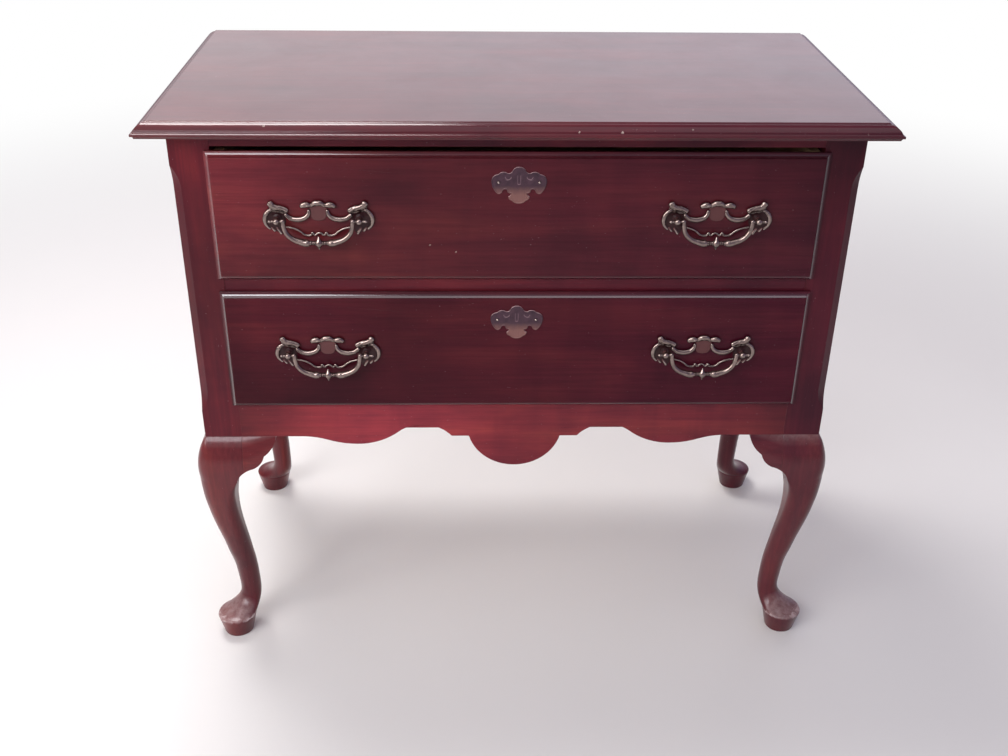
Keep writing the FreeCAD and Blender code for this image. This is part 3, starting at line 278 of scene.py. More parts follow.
def worn_rim(t, colour):
    """Chips through the lacquer along the rim of a pad foot."""
    low, high = PAD_RIM
    off_rim = t.apart(t.split(t.here())["Z"], (low + high) / 2)
    band = t.math("SUBTRACT", (high - low) / 2, off_rim)
    ragged = t.times(t.math("SUBTRACT", t.noise(160, 5, 0.75), 0.49), 10 * MM)
    worn = t.span(t.math("ADD", band, ragged), -0.4 * MM, 0.6 * MM)
    patchy = t.span(t.noise(55, 4, 0.6), 0.42, 0.6, 0.15, 1.0)
    return t.mix(t.times(worn, patchy, 0.9), colour, CHIPPED_RIM)


def dust_and_painted_sheen(t, colour):
    """Scuffs and dust on what faces up near the floor and on the knees' ledges, partly a painted sheen and
    highlight.
    """
    upward = t.span(t.facing()["Z"], 0.35, 0.85)
    height = t.split(t.here())["Z"]
    low_down = t.span(height, DUST_SHEEN_BELOW, DUST_SHEEN_BELOW - 0.02)
    ledge_highlight = t.span(height, SEAM - 0.014, SEAM - 0.010)
    scuffs = t.span(t.noise(120, 5, 0.7), 0.3, 0.7, 0.2, 0.65)
    return t.mix(t.times(upward, t.math("MAXIMUM", low_down, ledge_highlight), scuffs), colour, DUST_AND_SHEEN)


def lacquered(name, axis, offset, tone=1.0, green=1.8, cloudy=0.85, fade=PAINTED_SIDE_LIGHT, patches=(), chips=(),
              rim=False, dust_sheen=False, softened=0.9 * MM, shine=0.25, coat=0.0, haze=0.09, bevel_coat=None):
    """Dark red mahogany under satin lacquer, its grain along an axis.

    offset: place in the noise that makes the grain, its own for each piece.
    tone, green: brightness of the wood, and its share of green, which turns crimson to brown.
    cloudy: strength of the stain's darker and lighter clouds.
    fade, patches: painted light and shade, as colour at the case's left and right, and spots (x, y, z,
    radius, gain) of it.
    chips, rim, dust_sheen: knocks (x, y, z, radius), a worn rim of the pad foot, dust and a painted sheen on
    what faces up.
    softened: radius of the edges.
    shine, coat, haze: the lacquer's gloss, the share of clear polish over it and that polish's blur.
    bevel_coat: share of clear polish on the mouldings round a drawer front, where its face has less.
    """
    t = Finish(name)
    colour, fine = stained(t, axis, offset, tone, green, cloudy)
    colour = painted_shading(t, colour, patches, fade)
    pores = t.noise(along_grain(axis, 40, 1500), 2, 0.5, 0.0, offset)
    colour = t.mix(0.4, colour, t.ramp(pores, [(0.60, 1.0), (0.70, 0.6)]), "MULTIPLY")
    wear = t.times(t.edge(1.1 * MM, 0.04, 0.35), t.span(t.noise(40, 5, 0.7), 0.35, 0.7), 0.45)
    colour = t.mix(wear, colour, WORN_EDGE)
    if chips:
        colour = t.mix(t.near(chips), colour, CHIPPED)
    if rim:
        colour = worn_rim(t, colour)
    # Dust with a painted pale sheen on what faces up.
    if dust_sheen:
        colour = dust_and_painted_sheen(t, colour)
    specks = t.span(t.noise(620, 1, 0.4), 0.79, 0.81, 0.0, 0.5)
    colour = t.mix(specks, colour, DUST_SPECK)
    if bevel_coat:
        toward_front = t.math("ABSOLUTE", t.facing()["Y"])
        coat = t.span(toward_front, 0.80, 0.97, bevel_coat, coat)
        t.set(Coat_IOR=2.2)
    smudge = t.noise(11, 5, 0.65, 0.4)
    t.set(Base_Color=colour,
          Roughness=t.span(smudge, 0.3, 0.7, 0.28, 0.36),
          Specular_IOR_Level=shine,
          Specular_Tint=(1.0, 0.80, 0.94, 1.0),
          Coat_Weight=coat,
          Coat_Roughness=t.span(smudge, 0.3, 0.7, haze, haze + 0.04))
    peel = t.noise(300, 2, 0.4)
    swell = t.noise(along_grain(axis, 3, 14), 2, 0.4, 0.0, offset)
    layers = [(swell, 0.25, 1.2 * MM), (fine, 0.08, 0.3 * MM), (peel, 0.04, 0.2 * MM)]
    t.set(Coat_Normal=t.bump(layers, softened))
    return t.material


def bare_wood(name, axis, tint=(1, 1, 1)):
    """Unfinished secondary wood of the drawer boxes and the carcase."""

    def tinted(*colour):
        return tuple(c * k for c, k in zip(colour, tint))

    t = Finish(name)
    figure = t.noise(along_grain(axis, 2.4, 34), 4, 0.55, 0.7)
    fine = t.noise(along_grain(axis, 14, 420), 4, 0.6)
    colour = t.ramp(figure, [(0.32, tinted(0.36, 0.23, 0.125)),
                             (0.52, tinted(0.50, 0.345, 0.20)),
                             (0.70, tinted(0.60, 0.44, 0.27))])
    streaks = t.ramp(fine, [(0.35, (0.72, 0.68, 0.62)), (0.62, (1.05, 1.04, 1.02))])
    colour = t.mix(0.7, colour, streaks, "MULTIPLY")
    soiled = t.span(t.noise(9, 5, 0.7), 0.55, 0.75, 0, 0.35)
    colour = t.mix(soiled, colour, (0.25, 0.16, 0.10))
    colour = t.mix(t.times(t.edge(1 * MM, 0.05, 0.4), 0.4), colour, (0.30, 0.19, 0.11))
    t.set(Base_Color=colour, Roughness=t.span(fine, 0.3, 0.7, 0.55, 0.75))
    t.bump([(fine, 0.25, 0.5 * MM), (figure, 0.15, 1 * MM)], 0.6 * MM)
    return t.material


# ---------------------------------------------------------------- metal

PATINA_AND_SHADE = (0.018, 0.008, 0.010)
BLACK_PATINA_SHADOW = (0.030, 0.010, 0.011)
COPPER_BROWN = (0.115, 0.045, 0.045)
RUBBED_BRASS_HIGHLIGHT = (0.90, 0.78, 0.70)
BRASS_FLECK = (0.06, 0.030, 0.030)
TONGUE_BROWN = (0.21, 0.095, 0.082)
PAINTED_RIM_HIGHLIGHT = (0.75, 0.52, 0.52)

# Half rounds stamped into an escutcheon: distance from its middle, height above the nails, radius.
ENGRAVED = [(0.0115, 0.0064, 0.0033), (0.0, -0.0008, 0.0016), (0.0098, -0.0158, 0.0006)]
# Half the width of the stamped keyhole, and the height of its middle above the nails.
KEYHOLE_HALF = 0.0016
KEYHOLE_MIDDLE = 0.0036


def engraved(t, colour):
    """Fine pale lines on an escutcheon: half rounds and the sides of a stamped keyhole."""

    def line(off):
        return t.span(off, 0.4 * MM, 0.2 * MM)

    place = t.split(t.here())
    across = t.math("ABSOLUTE", place["X"])
    for middle, height, radius in ENGRAVED:
        off = t.math("SUBTRACT", across, middle)
        over = t.math("SUBTRACT", place["Z"], height)
        reach = t.math("SQRT", t.math("ADD", t.times(off, off), t.times(over, over)))
        lower_half = t.span(over, 0.0, -0.8 * MM)
        colour = t.mix(t.times(line(t.apart(reach, radius)), lower_half, 0.55), colour, (0.42, 0.26, 0.29))
    sides = line(t.apart(across, KEYHOLE_HALF))
    beside = t.span(t.apart(place["Z"], KEYHOLE_MIDDLE), 4.4 * MM, 3.6 * MM)
    return t.mix(t.times(sides, beside, 0.45), colour, (0.30, 0.18, 0.21))


def antique_brass(name, recess=None, tongue=None):
    """Cast brass with a dark brown patina and painted shade, rubbed bright on what stands proud, partly as a
    painted highlight.

    recess: distances in front of the back plane up to which the patina, partly a painted shadow, is black,
    then copper brown.
    tongue: height below which a flat plate turns from purple grey to warm brown.
    """
    t = Finish(name)
    cloud = t.noise(140, 4, 0.6, 0.3)
    fleck = t.noise(900, 3, 0.6)
    occlusion = t.node("ShaderNodeAmbientOcclusion", samples=8)
    occlusion.inputs["Distance"].default_value = 6 * MM
    open_air = t.span(occlusion.outputs["AO"], 0.45, 1.0)
    proud = t.span(t.node("ShaderNodeNewGeometry").outputs["Pointiness"], 0.49, 0.56)
    place = t.split(t.here())
    upward = t.facing()["Z"]
    metal = t.ramp(cloud, [(0.3, (0.17, 0.110, 0.100)),
                           (0.55, (0.27, 0.185, 0.165)),
                           (0.75, (0.37, 0.27, 0.235))])
    # Painted shade: the metal is darker on what faces down.
    painted_underside_shade = t.span(upward, -0.5, 0.55, 0.30, 1.0)
    metal = t.mix(1.0, metal, painted_underside_shade, "MULTIPLY")
    # Rubbed bright on what stands proud, partly a painted highlight.
    bright = t.mix(t.times(proud, 0.6), metal, RUBBED_BRASS_HIGHLIGHT)
    # Black patina in hollows, partly painted shade where the casting lies close to the wood and to its own
    # parts.
    colour = t.mix(open_air, PATINA_AND_SHADE, bright)
    metallic = t.span(open_air, 0.0, 0.6, 0.55, 1.0)
    roughness = t.span(cloud, 0.3, 0.7, 0.16, 0.28)
    # Near the drawer's face: black, then copper brown, patina that is partly a painted shadow.
    if recess:
        black, brown = recess
        lift = t.times(place["Y"], -1.0)
        colour = t.mix(t.span(lift, brown, brown + 0.3 * MM), COPPER_BROWN, colour)
        colour = t.mix(t.span(lift, black, black + 0.15 * MM), BLACK_PATINA_SHADOW, colour)
        metallic = t.span(lift, black, brown + 0.3 * MM, 0.0, 1.0)
        t.set(Specular_IOR_Level=0.2)
    if tongue is not None:
        plate = t.mix(t.span(cloud, 0.35, 0.65), (0.040, 0.017, 0.028), (0.070, 0.030, 0.046))
        uneven = t.times(t.math("SUBTRACT", cloud, 0.5), 8 * MM)
        height = t.math("ADD", place["Z"], uneven)
        colour = t.mix(t.span(height, tongue - 6 * MM, tongue + 4 * MM), TONGUE_BROWN, plate)
        # Painted highlight along the rim's up-facing edges.
        colour = t.mix(t.span(upward, 0.30, 0.60, 0.0, 0.9), colour, PAINTED_RIM_HIGHLIGHT)
        colour = engraved(t, colour)
        metallic = 0.35
        roughness = t.span(cloud, 0.3, 0.7, 0.34, 0.48)
    colour = t.mix(t.span(fleck, 0.58, 0.72, 0, 0.35), colour, BRASS_FLECK)
    t.set(Base_Color=colour, Metallic=metallic, Roughness=roughness)
    t.bump([(cloud, 0.2, 0.3 * MM), (fleck, 0.1, 0.1 * MM)])
    return t.material


def steel(name):
    t = Finish(name)
    brushed = t.noise((800, 60, 800), 4, 0.6)
    spots = t.noise(160, 5, 0.7)
    colour = t.ramp(spots, [(0.3, (0.42, 0.41, 0.40)), (0.7, (0.62, 0.61, 0.60))])
    t.set(Base_Color=colour, Metallic=1.0, Roughness=t.span(brushed, 0.3, 0.7, 0.28, 0.45))
    t.bump([(brushed, 0.15, 0.2 * MM)], 0.3 * MM)
    return t.material


# ---------------------------------------------------------------- materials on the CAD pieces

# Knocks along the top's front edge and specks of dirt on the drawers: x, y, z, radius.
TOP_NICKS = [
    (-0.2616, -0.1930, 0.6887, 0.0016),
    (0.0600, -0.1984, 0.6853, 0.0011),
    (0.1044, -0.1984, 0.6853, 0.0012),
    (0.1187, -0.1950, 0.6872, 0.0009),
    (0.1770, -0.1950, 0.6872, 0.0013),
    (0.3042, -0.2003, 0.6842, 0.0010),
    (0.3080, -0.2003, 0.6842, 0.0010),
    (0.3118, -0.2003, 0.6842, 0.0010),
    (0.3156, -0.2003, 0.6842, 0.0010),
    (0.3578, -0.1998, 0.6847, 0.0014),
]
UPPER_SPECKS = [(-0.0957, -0.1810, 0.5536, 0.0007), (-0.0675, -0.1810, 0.5454, 0.0008)]
LOWER_SPECKS = [(-0.3214, -0.1785, 0.4270, 0.0016)]

# The legs' and knee blocks' raised tone is partly a painted warm reflection from the floor.
LEG_FINISH = {"tone": 1.2, "green": 2.5, "cloudy": 0.45, "shine": 0.15, "coat": 0.5, "haze": 0.14}
FINISHES = {
    "top_board": {
        "tone": 0.8, "cloudy": 0.5, "shine": 0.1, "coat": 0.8, "softened": 1.6 * MM, "chips": TOP_NICKS,
        "patches": [(0, -0.2, 0.69, 0.5, 1.1)]},
    "front_post_left": {"patches": [(-0.35, -0.17, 0.50, 0.14, 0.6)]},
    "front_post_right": {"patches": [(0.35, -0.17, 0.65, 0.12, 0.55)]},
    # The apron's raised tone is a painted reflection of a warm floor; its fade and patches are painted light
    # and shade.
    "apron": {
        "tone": 1.5, "green": 2.5, "fade": ((1.5, 1.45, 1.5), (1.0, 1.0, 1.2)),
        "patches": [(-0.34, -0.17, 0.33, 0.13, 0.5), (-0.15, -0.17, 0.32, 0.18, 1.6),
                    (0.34, -0.17, 0.33, 0.13, 0.6)]},
    # Upper drawer: fade and patches are painted light and shade, a glow at the upper left and shade at the
    # upper right.
    "upper_drawer_front": {
        "tone": 0.80, "green": 1.75, "cloudy": 0.6, "shine": 0.08, "coat": 0.06, "bevel_coat": 1.0,
        "chips": UPPER_SPECKS, "fade": ((1.06, 1.7, 1.2), (0.95, 1.3, 1.6)),
        "patches": [(-0.33, -0.18, 0.655, 0.20, 2.2), (0.31, -0.18, 0.655, 0.22, 0.72)]},
    # Lower drawer: fade and patches are painted light and shade, with a glow at the left.
    "lower_drawer_front": {
        "tone": 0.58, "green": 1.45, "cloudy": 0.6, "shine": 0.06, "coat": 0.04, "bevel_coat": 1.0,
        "chips": LOWER_SPECKS, "fade": ((0.70, 1.0, 0.9), (1.3, 2.0, 2.2)),
        "patches": [(-0.27, -0.18, 0.47, 0.14, 1.7)]},
}


def wood_for(label):
    """The finish of one lacquered piece, each with grain of its own."""
    upright = label.startswith(("front_post", "rear_post", "side_panel", "leg_"))
    shift = tuple(random.uniform(-9, 9) for _ in range(3))
    options = FINISHES.get(label, {})
    if label.startswith("leg_") or "knee_block" in label:
        options = {**LEG_FINISH,
                   "rim": label.startswith("leg_front"),
                   "dust_sheen": label.startswith(("leg_front", "front_knee"))}
    return lacquered(f"lacquer_{label}", "Z" if upright else "X", shift, **options)


brass = antique_brass("aged_brass_finish")
plate_brass = antique_brass("backplate_finish", recess=(0.98 * MM, 1.5 * MM))
post_brass = antique_brass("post_finish", recess=(4.5 * MM, 7.5 * MM))
dark_brass = antique_brass("escutcheon_finish", tongue=-8 * MM)
nail_brass = antique_brass("nail_finish")
screw_steel = steel("screw_steel_finish")
bare = {axis: bare_wood(f"bare_wood_{axis}", axis) for axis in "XYZ"}
thin_board = bare_wood("bare_wood_sheet", "X", (0.92, 0.88, 0.82))


def bare_wood_for(label):
    """The unfinished wood of one piece, its grain along the piece."""
    if "bottom" in label or label in ("dust_panel", "back_panel"):
        return thin_board
    if label.endswith(("rail", "_back")) or label == "glue_blocks":
        return bare["X"]
    if label == "leg_dowels":
        return bare["Z"]
    return bare["Y"]


slots = {part["node"]: part["material_slot"] for part in frame["record"]["subparts"]}
for label, obj in sorted(nodes.items()):
    slot = slots[label]
    if slot == "lacquered_mahogany":
        finish = wood_for(label)
    elif slot == "plain_wood":
        finish = bare_wood_for(label)
    elif slot == "aged_brass":
        finish = brass
    else:
        finish = screw_steel
    obj.data.materials.clear()
    obj.data.materials.append(finish)

# ---------------------------------------------------------------- shapes that castings are made of

CAP_STEPS = 5


def smooth_path(stops, steps=7):
    """Points between stops of plain numbers, on a Catmull-Rom curve through every stop."""
    path = []
    for index in range(len(stops) - 1):
        before = stops[max(index - 1, 0)]
        first = stops[index]
        second = stops[index + 1]
        after = stops[min(index + 2, len(stops) - 1)]
        for step in range(steps):
            s = step / steps
            path.append(tuple(0.5 * (2 * b + (c - a) * s + (2 * a - 5 * b + 4 * c - d) * s * s
                                     + (3 * b - a - 3 * c + d) * s ** 3)
                              for a, b, c, d in zip(before, first, second, after)))
    path.append(tuple(stops[-1]))
    return path


def around(sides):
    """The angles of a regular ring."""
    return [2 * math.pi * k / sides for k in range(sides)]


def tube(bm, stops, sides=18, steps=7, wide=1.0, thick=1.0):
    """A round-ended bar through (x, z, lift, radius) in millimetres.

    thick scales every radius, and wide stretches the bar across its way.
    """
    path = smooth_path(stops, steps)
    centres = [Vector((x, -lift, z)) for x, z, lift, _ in path]
    rings = []
    for index, (centre, row) in enumerate(zip(centres, path)):
        way = (centres[min(index + 1, len(path) - 1)] - centres[max(index - 1, 0)]).normalized()
        rings.append((centre, way, row[3] * thick))
    ends = []
    for place, sign in ((0, -1), (-1, 1)):
        centre, way, radius = rings[place]
        cap = []
        for k in range(1, CAP_STEPS + 1):
            turn = math.pi / 2 * k / CAP_STEPS
            cap.append((centre + way * sign * radius * math.sin(turn), way, radius * math.cos(turn) + 1e-4))
        ends.append(cap)
    rings = list(reversed(ends[0])) + rings + ends[1]
    loops = []
    for centre, way, radius in rings:
        across = way.cross(Vector((0, -1, 0))).normalized()
        front = across.cross(way)
        loops.append([bm.verts.new(centre + (front * math.cos(a) + across * math.sin(a) * wide) * radius)
                      for a in around(sides)])
    for first, second in zip(loops, loops[1:]):
        for k in range(sides):
            bm.faces.new((first[k], first[(k + 1) % sides], second[(k + 1) % sides], second[k]))
    bm.faces.new(list(reversed(loops[0])))
    bm.faces.new(loops[-1])


def slab(bm, outline, back, front):
    """A flat plate with an outline of (x, z), between two distances in front of the back plane."""
    low = [bm.verts.new((x, -back, z)) for x, z in outline]
    high = [bm.verts.new((x, -front, z)) for x, z in outline]
    count = len(outline)
    bm.faces.new(low)
    bm.faces.new(list(reversed(high)))
    for k in range(count):
        bm.faces.new((low[k], high[k], high[(k + 1) % count], low[(k + 1) % count]))


def ball(bm, x, z, lift, radius):
    made = bmesh.ops.create_uvsphere(bm, u_segments=20, v_segments=14, radius=radius)
    bmesh.ops.translate(bm, verts=made["verts"], vec=(x, -lift, z))


def turned(bm, profile, x=0.0, sides=40):
    """A turned shape about an axis along Y, from (lift, radius) in millimetres."""
    loops = [[bm.verts.new((x + radius * math.cos(a), -lift, radius * math.sin(a))) for a in around(sides)]
             for lift, radius in profile]
    for first, second in zip(loops, loops[1:]):
        for k in range(sides):
            bm.faces.new((first[k], second[k], second[(k + 1) % sides], first[(k + 1) % sides]))
    bm.faces.new(loops[0])
    bm.faces.new(list(reversed(loops[-1])))


def mirrored_stops(stops):
    return [(-stop[0], *stop[1:]) for stop in stops]


def cast(name, bm, voxel, rounds, sculpt=None):
    """One skin round everything in bm, softened like a casting; sculpt(co) moves each point."""
    bmesh.ops.recalc_face_normals(bm, faces=bm.faces)
    rough = bpy.data.meshes.new(f"{name}_rough")
    bm.to_mesh(rough)
    bm.free()
    rough.transform(Matrix.Scale(MM, 4))
    shell = bpy.data.objects.new(f"{name}_shell", rough)
    bpy.context.scene.collection.objects.link(shell)
    skin = shell.modifiers.new("skin", "REMESH")
    skin.mode = "VOXEL"
    skin.voxel_size = voxel * MM
    soft = shell.modifiers.new("soft", "SMOOTH")
    soft.factor = 0.5
    soft.iterations = rounds
    bpy.context.view_layer.update()
    mesh = bpy.data.meshes.new_from_object(shell.evaluated_get(bpy.context.evaluated_depsgraph_get()))
    mesh.name = name
    bpy.data.objects.remove(shell)
    if sculpt:
        for vert in mesh.vertices:
            vert.co = sculpt(vert.co / MM) * MM
    mesh.polygons.foreach_set("use_smooth", [True] * len(mesh.polygons))
    return mesh


# ---------------------------------------------------------------- the pulls' castings, in millimetres

POST = 43.9         # the posts, either side of a pull's middle
PLATE_DROP = 4.5    # a backplate's own zero, under its posts
BAIL_LOW = -24.6    # the bail's lowest bar, under its pivots
SHOULDER = 36.9     # the bail's arms, either side of its middle
VEIN_WAVE = 2.1     # radians of the leaves' veins for each millimetre


def backplate_mesh():
    """A pierced plate of scrolls and leaves, with a dished ground behind each post."""
    bm = bmesh.new()
    dish = [(POST - 8.5, 8.5), (POST - 1, 14), (POST + 7, 13), (POST + 12.3, 8), (POST + 13.4, 1),
            (POST + 11.2, -5), (POST + 5, -8.8), (POST - 1.5, -13), (POST - 5.5, -12), (POST - 7, -7),
            (POST - 8.8, 0)]
    shield = [(0, 1.2), (6, 2.8), (8.6, 8), (9.3, 15), (7, 19.6), (0, 22), (-7, 19.6), (-9.3, 15), (-8.6, 8),
              (-6, 2.8)]
    slab(bm, smooth_path(shield + [shield[0]], 4)[:-1], 0.05, 1.25)
    swag = [(POST - 9.3, 8.4, 1.7, 1.7), (POST - 12.4, 5.6, 1.9, 1.8), (POST - 16, 3.9, 2.1, 2.0),
            (21.5, 3.2, 2.3, 2.2), (14.8, 4.9, 2.1, 2.0), (10.9, 8.6, 1.9, 1.7), (9.8, 13, 1.7, 1.3)]
    horned_leaf = [(POST - 10.0, 13.6, 2.6, 2.2), (POST - 7, 15.2, 2.4, 2.1), (POST - 2.5, 16.2, 2.3, 2.3),
                   (POST + 1.5, 17.0, 2.3, 2.4), (POST + 4.6, 18.8, 2.3, 2.4), (POST + 6.3, 21.4, 2.5, 2.5)]
    under_leaf = [(POST - 9, 10.8, 1.3, 0.9), (POST - 3, 11.8, 1.5, 1.2), (POST + 3, 13.4, 1.5, 1.2),
                  (POST + 7.5, 16.6, 1.4, 1.0)]
    c_scroll = [(POST + 5.0, 14.2, 1.5, 1.5), (POST + 9.2, 12.2, 1.8, 1.8), (POST + 12.4, 8, 1.9, 1.9),
                (POST + 13.6, 3, 1.9, 1.9), (POST + 13.0, -1.8, 1.6, 1.5), (POST + 11.2, -5.2, 1.3, 1.2),
                (POST + 8.8, -7.6, 1.2, 1.0)]
    outer_petal = [(POST + 6.6, -7.0, 0.5, 1.0), (POST + 4.4, -9.6, 0.7, 1.1), (POST + 3.6, -10.3, 0.7, 1.0)]
    inner_petal = [(POST + 1.0, -7.5, 0.5, 1.0), (POST - 1.6, -11.0, 0.7, 1.2), (POST - 2.7, -13.0, 0.8, 1.2)]
    lower_rim = [(POST - 8, -5.4, 1.5, 0.75), (POST - 13.7, -6.4, 1.9, 0.8), (POST - 18.6, -7.8, 2.0, 0.85),
                 (20.4, -10.6, 2.0, 0.85), (17.4, -13.4, 2.0, 0.85), (14.6, -14.9, 2.0, 0.9),
                 (11.4, -15.2, 2.0, 0.95), (9.2, -14.6, 2.0, 0.95), (7.5, -12.0, 2.1, 0.9),
                 (5.9, -14.0, 2.0, 0.95), (4.3, -14.6, 2.0, 0.9), (2.2, -12.9, 2.0, 0.85),
                 (0, -12.2, 2.0, 0.9)]
    crest = [(0, 21.8, 2.2, 2.6), (2.6, 21.8, 2.1, 2.5), (4.9, 20.4, 1.9, 2.1), (6.5, 18.9, 1.8, 1.6)]
    crest_curl = [(7.6, 18.5, 1.7, 1.5), (9.8, 19.6, 2.1, 2.3), (12.8, 20.1, 2.3, 2.7),
                  (15.4, 19.5, 2.2, 2.5), (16.9, 18.5, 2.1, 2.2)]
    bars = [(swag, 1.1), (horned_leaf, 1.15), (under_leaf, 1.0), (c_scroll, 1.0), (outer_petal, 1.0),
            (inner_petal, 1.0), (lower_rim, 1.0), (crest, 1.0), (crest_curl, 1.0)]
    for stops, wide in bars:
        tube(bm, stops, wide=wide * 1.12, thick=1.14)
        tube(bm, mirrored_stops(stops), wide=wide * 1.12, thick=1.14)
    for side in (-1, 1):
        slab(bm, [(side * x, z) for x, z in smooth_path(dish + [dish[0]], 4)[:-1]], 0.05, 0.85)
        ball(bm, side * (POST + 6.5), 21.5, 2.4, 2.7)
        ball(bm, side * (POST - 10.2), 13.4, 2.5, 2.4)
        ball(bm, side * (POST - 9.4), 8.3, 1.9, 2.0)

    def sculpt(co):
        """Veins along the leaves and a flat back."""
        x = abs(co.x)
        depth = -co.y
        if depth > 1.6 and co.z > 11 and x > 32:
            vein = math.cos((co.z - 13 - 0.55 * (x - POST)) * VEIN_WAVE)
            depth -= 0.15 * max(0.0, -vein) * min(1.0, (depth - 1.6) / 1.2)
        depth = min(max(depth, 0.02), 4.9)
        return Vector((co.x, -depth, co.z))

    return cast("backplate_cast", bm, 0.3, 3, sculpt)


def bail_mesh():
    """A swinging handle: two arms that swell toward the middle, four rings and a turned drop."""
    bm = bmesh.new()
    low = BAIL_LOW
    arm = [(SHOULDER + 1.2, 0.2, 0, 1.7), (SHOULDER, 0.2, 0, 1.9), (SHOULDER - 0.2, -3.5, 0, 2.05),
           (SHOULDER - 0.9, -8, 0, 2.15), (SHOULDER - 2.2, -12.2, 0, 2.25), (SHOULDER - 4.6, -16, 0, 2.35),
           (SHOULDER - 8, -19.2, 0, 2.45), (SHOULDER - 12.2, -21.6, 0, 2.6), (20.0, -23.2, 0, 2.85),
           (15.6, low, 0, 3.25), (13, low, 0, 3.4), (11.0, low, 0, 3.0), (9.8, low, 0, 2.2)]
    for stops in (arm, mirrored_stops(arm)):
        tube(bm, stops, sides=24, steps=6, thick=1.22)
    for side in (-1, 1):
        tube(bm, [(side * SHOULDER, 0, 0, 1.4), (side * 50.0, 0, 0, 1.4)], steps=2)
        tube(bm, [(side * 49.9, 0, 0, 1.5), (side * 50.9, 0, 0, 2.0), (side * 51.3, 0, 0, 1.6)], steps=3)
        for x, radius in ((8.7, 2.7), (7.4, 3.0), (5.0, 2.9), (3.9, 2.4)):
            tube(bm, [(side * (x - 0.15), low, 0, 0.6), (side * (x - 0.05), low, 0, radius),
                      (side * (x + 0.05), low, 0, radius), (side * (x + 0.15), low, 0, 0.6)],
                 sides=28, steps=3)
    tube(bm, [(-9.6, low, 0, 2.1), (9.6, low, 0, 2.1)], steps=2)
    drop = [(6.6, 0.8), (5.4, 1.3), (4.0, 2.0), (2.2, 2.8), (0.4, 3.2), (-1.6, 3.1), (-3.4, 2.4), (-4.8, 1.6),
            (-6.2, 0.9)]
    tube(bm, [(0, low + height, 0, radius) for height, radius in drop], sides=28, thick=1.25)
    return cast("bail_cast", bm, 0.24, 3)


def posts_mesh(centres):
    """A drawer's pull posts, from the ends of their shanks to their heads."""
    bm = bmesh.new()
    profile = [(-24.4, 1.6), (-24.2, 2), (1.2, 2), (1.4, 4.6), (1.7, 5.0), (2.1, 4.8), (2.5, 3.8), (2.9, 2.9),
               (3.6, 2.5), (4.6, 2.6), (5.4, 3.2), (6.2, 3.4), (7.0, 3.1), (7.6, 2.5), (8.2, 2.5), (8.8, 3.0),
               (9.8, 3.6), (11.3, 3.75), (12.8, 3.6), (14.0, 3.0), (14.9, 2.0), (15.4, 0.6)]
    for centre in centres:
        for side in (-1, 1):
            turned(bm, profile, centre + side * POST)
    return cast("posts_cast", bm, 0.3, 1)


# ---------------------------------------------------------------- the escutcheons, in millimetres

ESCUTCHEON_TOP = 17     # above the nails
NAIL_OUT = 21.7         # the nails, either side of the middle
PLATE_FRONT = 1.2       # the rim, in front of the drawer

# Right half of the outline from the nails' height: each corner, and a point of the arc to the next.
ESCUTCHEON = [
    ((0, ESCUTCHEON_TOP), (3.8, 16.1)), ((6.9, 13), (9, 10.4)), ((12, 9.8), (17.5, 11.4)),
    ((22, 8.8), (27.2, 6.5)), ((29.4, 1.8), (28.2, -5)), ((24.5, -11.3), (21.4, -13.1)),
    ((17.8, -10.4), (15.6, -8)), ((12.6, -8.6), (11.2, -11.8)), ((8.4, -12.4), (9.4, -14.6)),
    ((11.3, -15.9), (10.2, -19)), ((7.4, -20.5), (4.4, -23)), ((0, -23.8), None),
]


def arc_points(start, bend, end, count=8):
    """Points on the circle through three points, from start up to end."""
    (ax, az), (bx, bz), (cx, cz) = start, bend, end
    a2, b2, c2 = ax * ax + az * az, bx * bx + bz * bz, cx * cx + cz * cz
    d = 2 * (ax * (bz - cz) + bx * (cz - az) + cx * (az - bz))
    ux = (a2 * (bz - cz) + b2 * (cz - az) + c2 * (az - bz)) / d
    uz = (a2 * (cx - bx) + b2 * (ax - cx) + c2 * (bx - ax)) / d
    radius = math.hypot(ax - ux, az - uz)
    turns = [math.atan2(z - uz, x - ux) for x, z in (start, bend, end)]
    sweep = (turns[2] - turns[0]) % (2 * math.pi)
    if (turns[1] - turns[0]) % (2 * math.pi) > sweep:
        sweep -= 2 * math.pi
    angles = [turns[0] + sweep * k / count for k in range(count)]
    return [(ux + radius * math.cos(a), uz + radius * math.sin(a)) for a in angles]


def groove(distance, width):
    return math.exp(-(distance / width) ** 2)


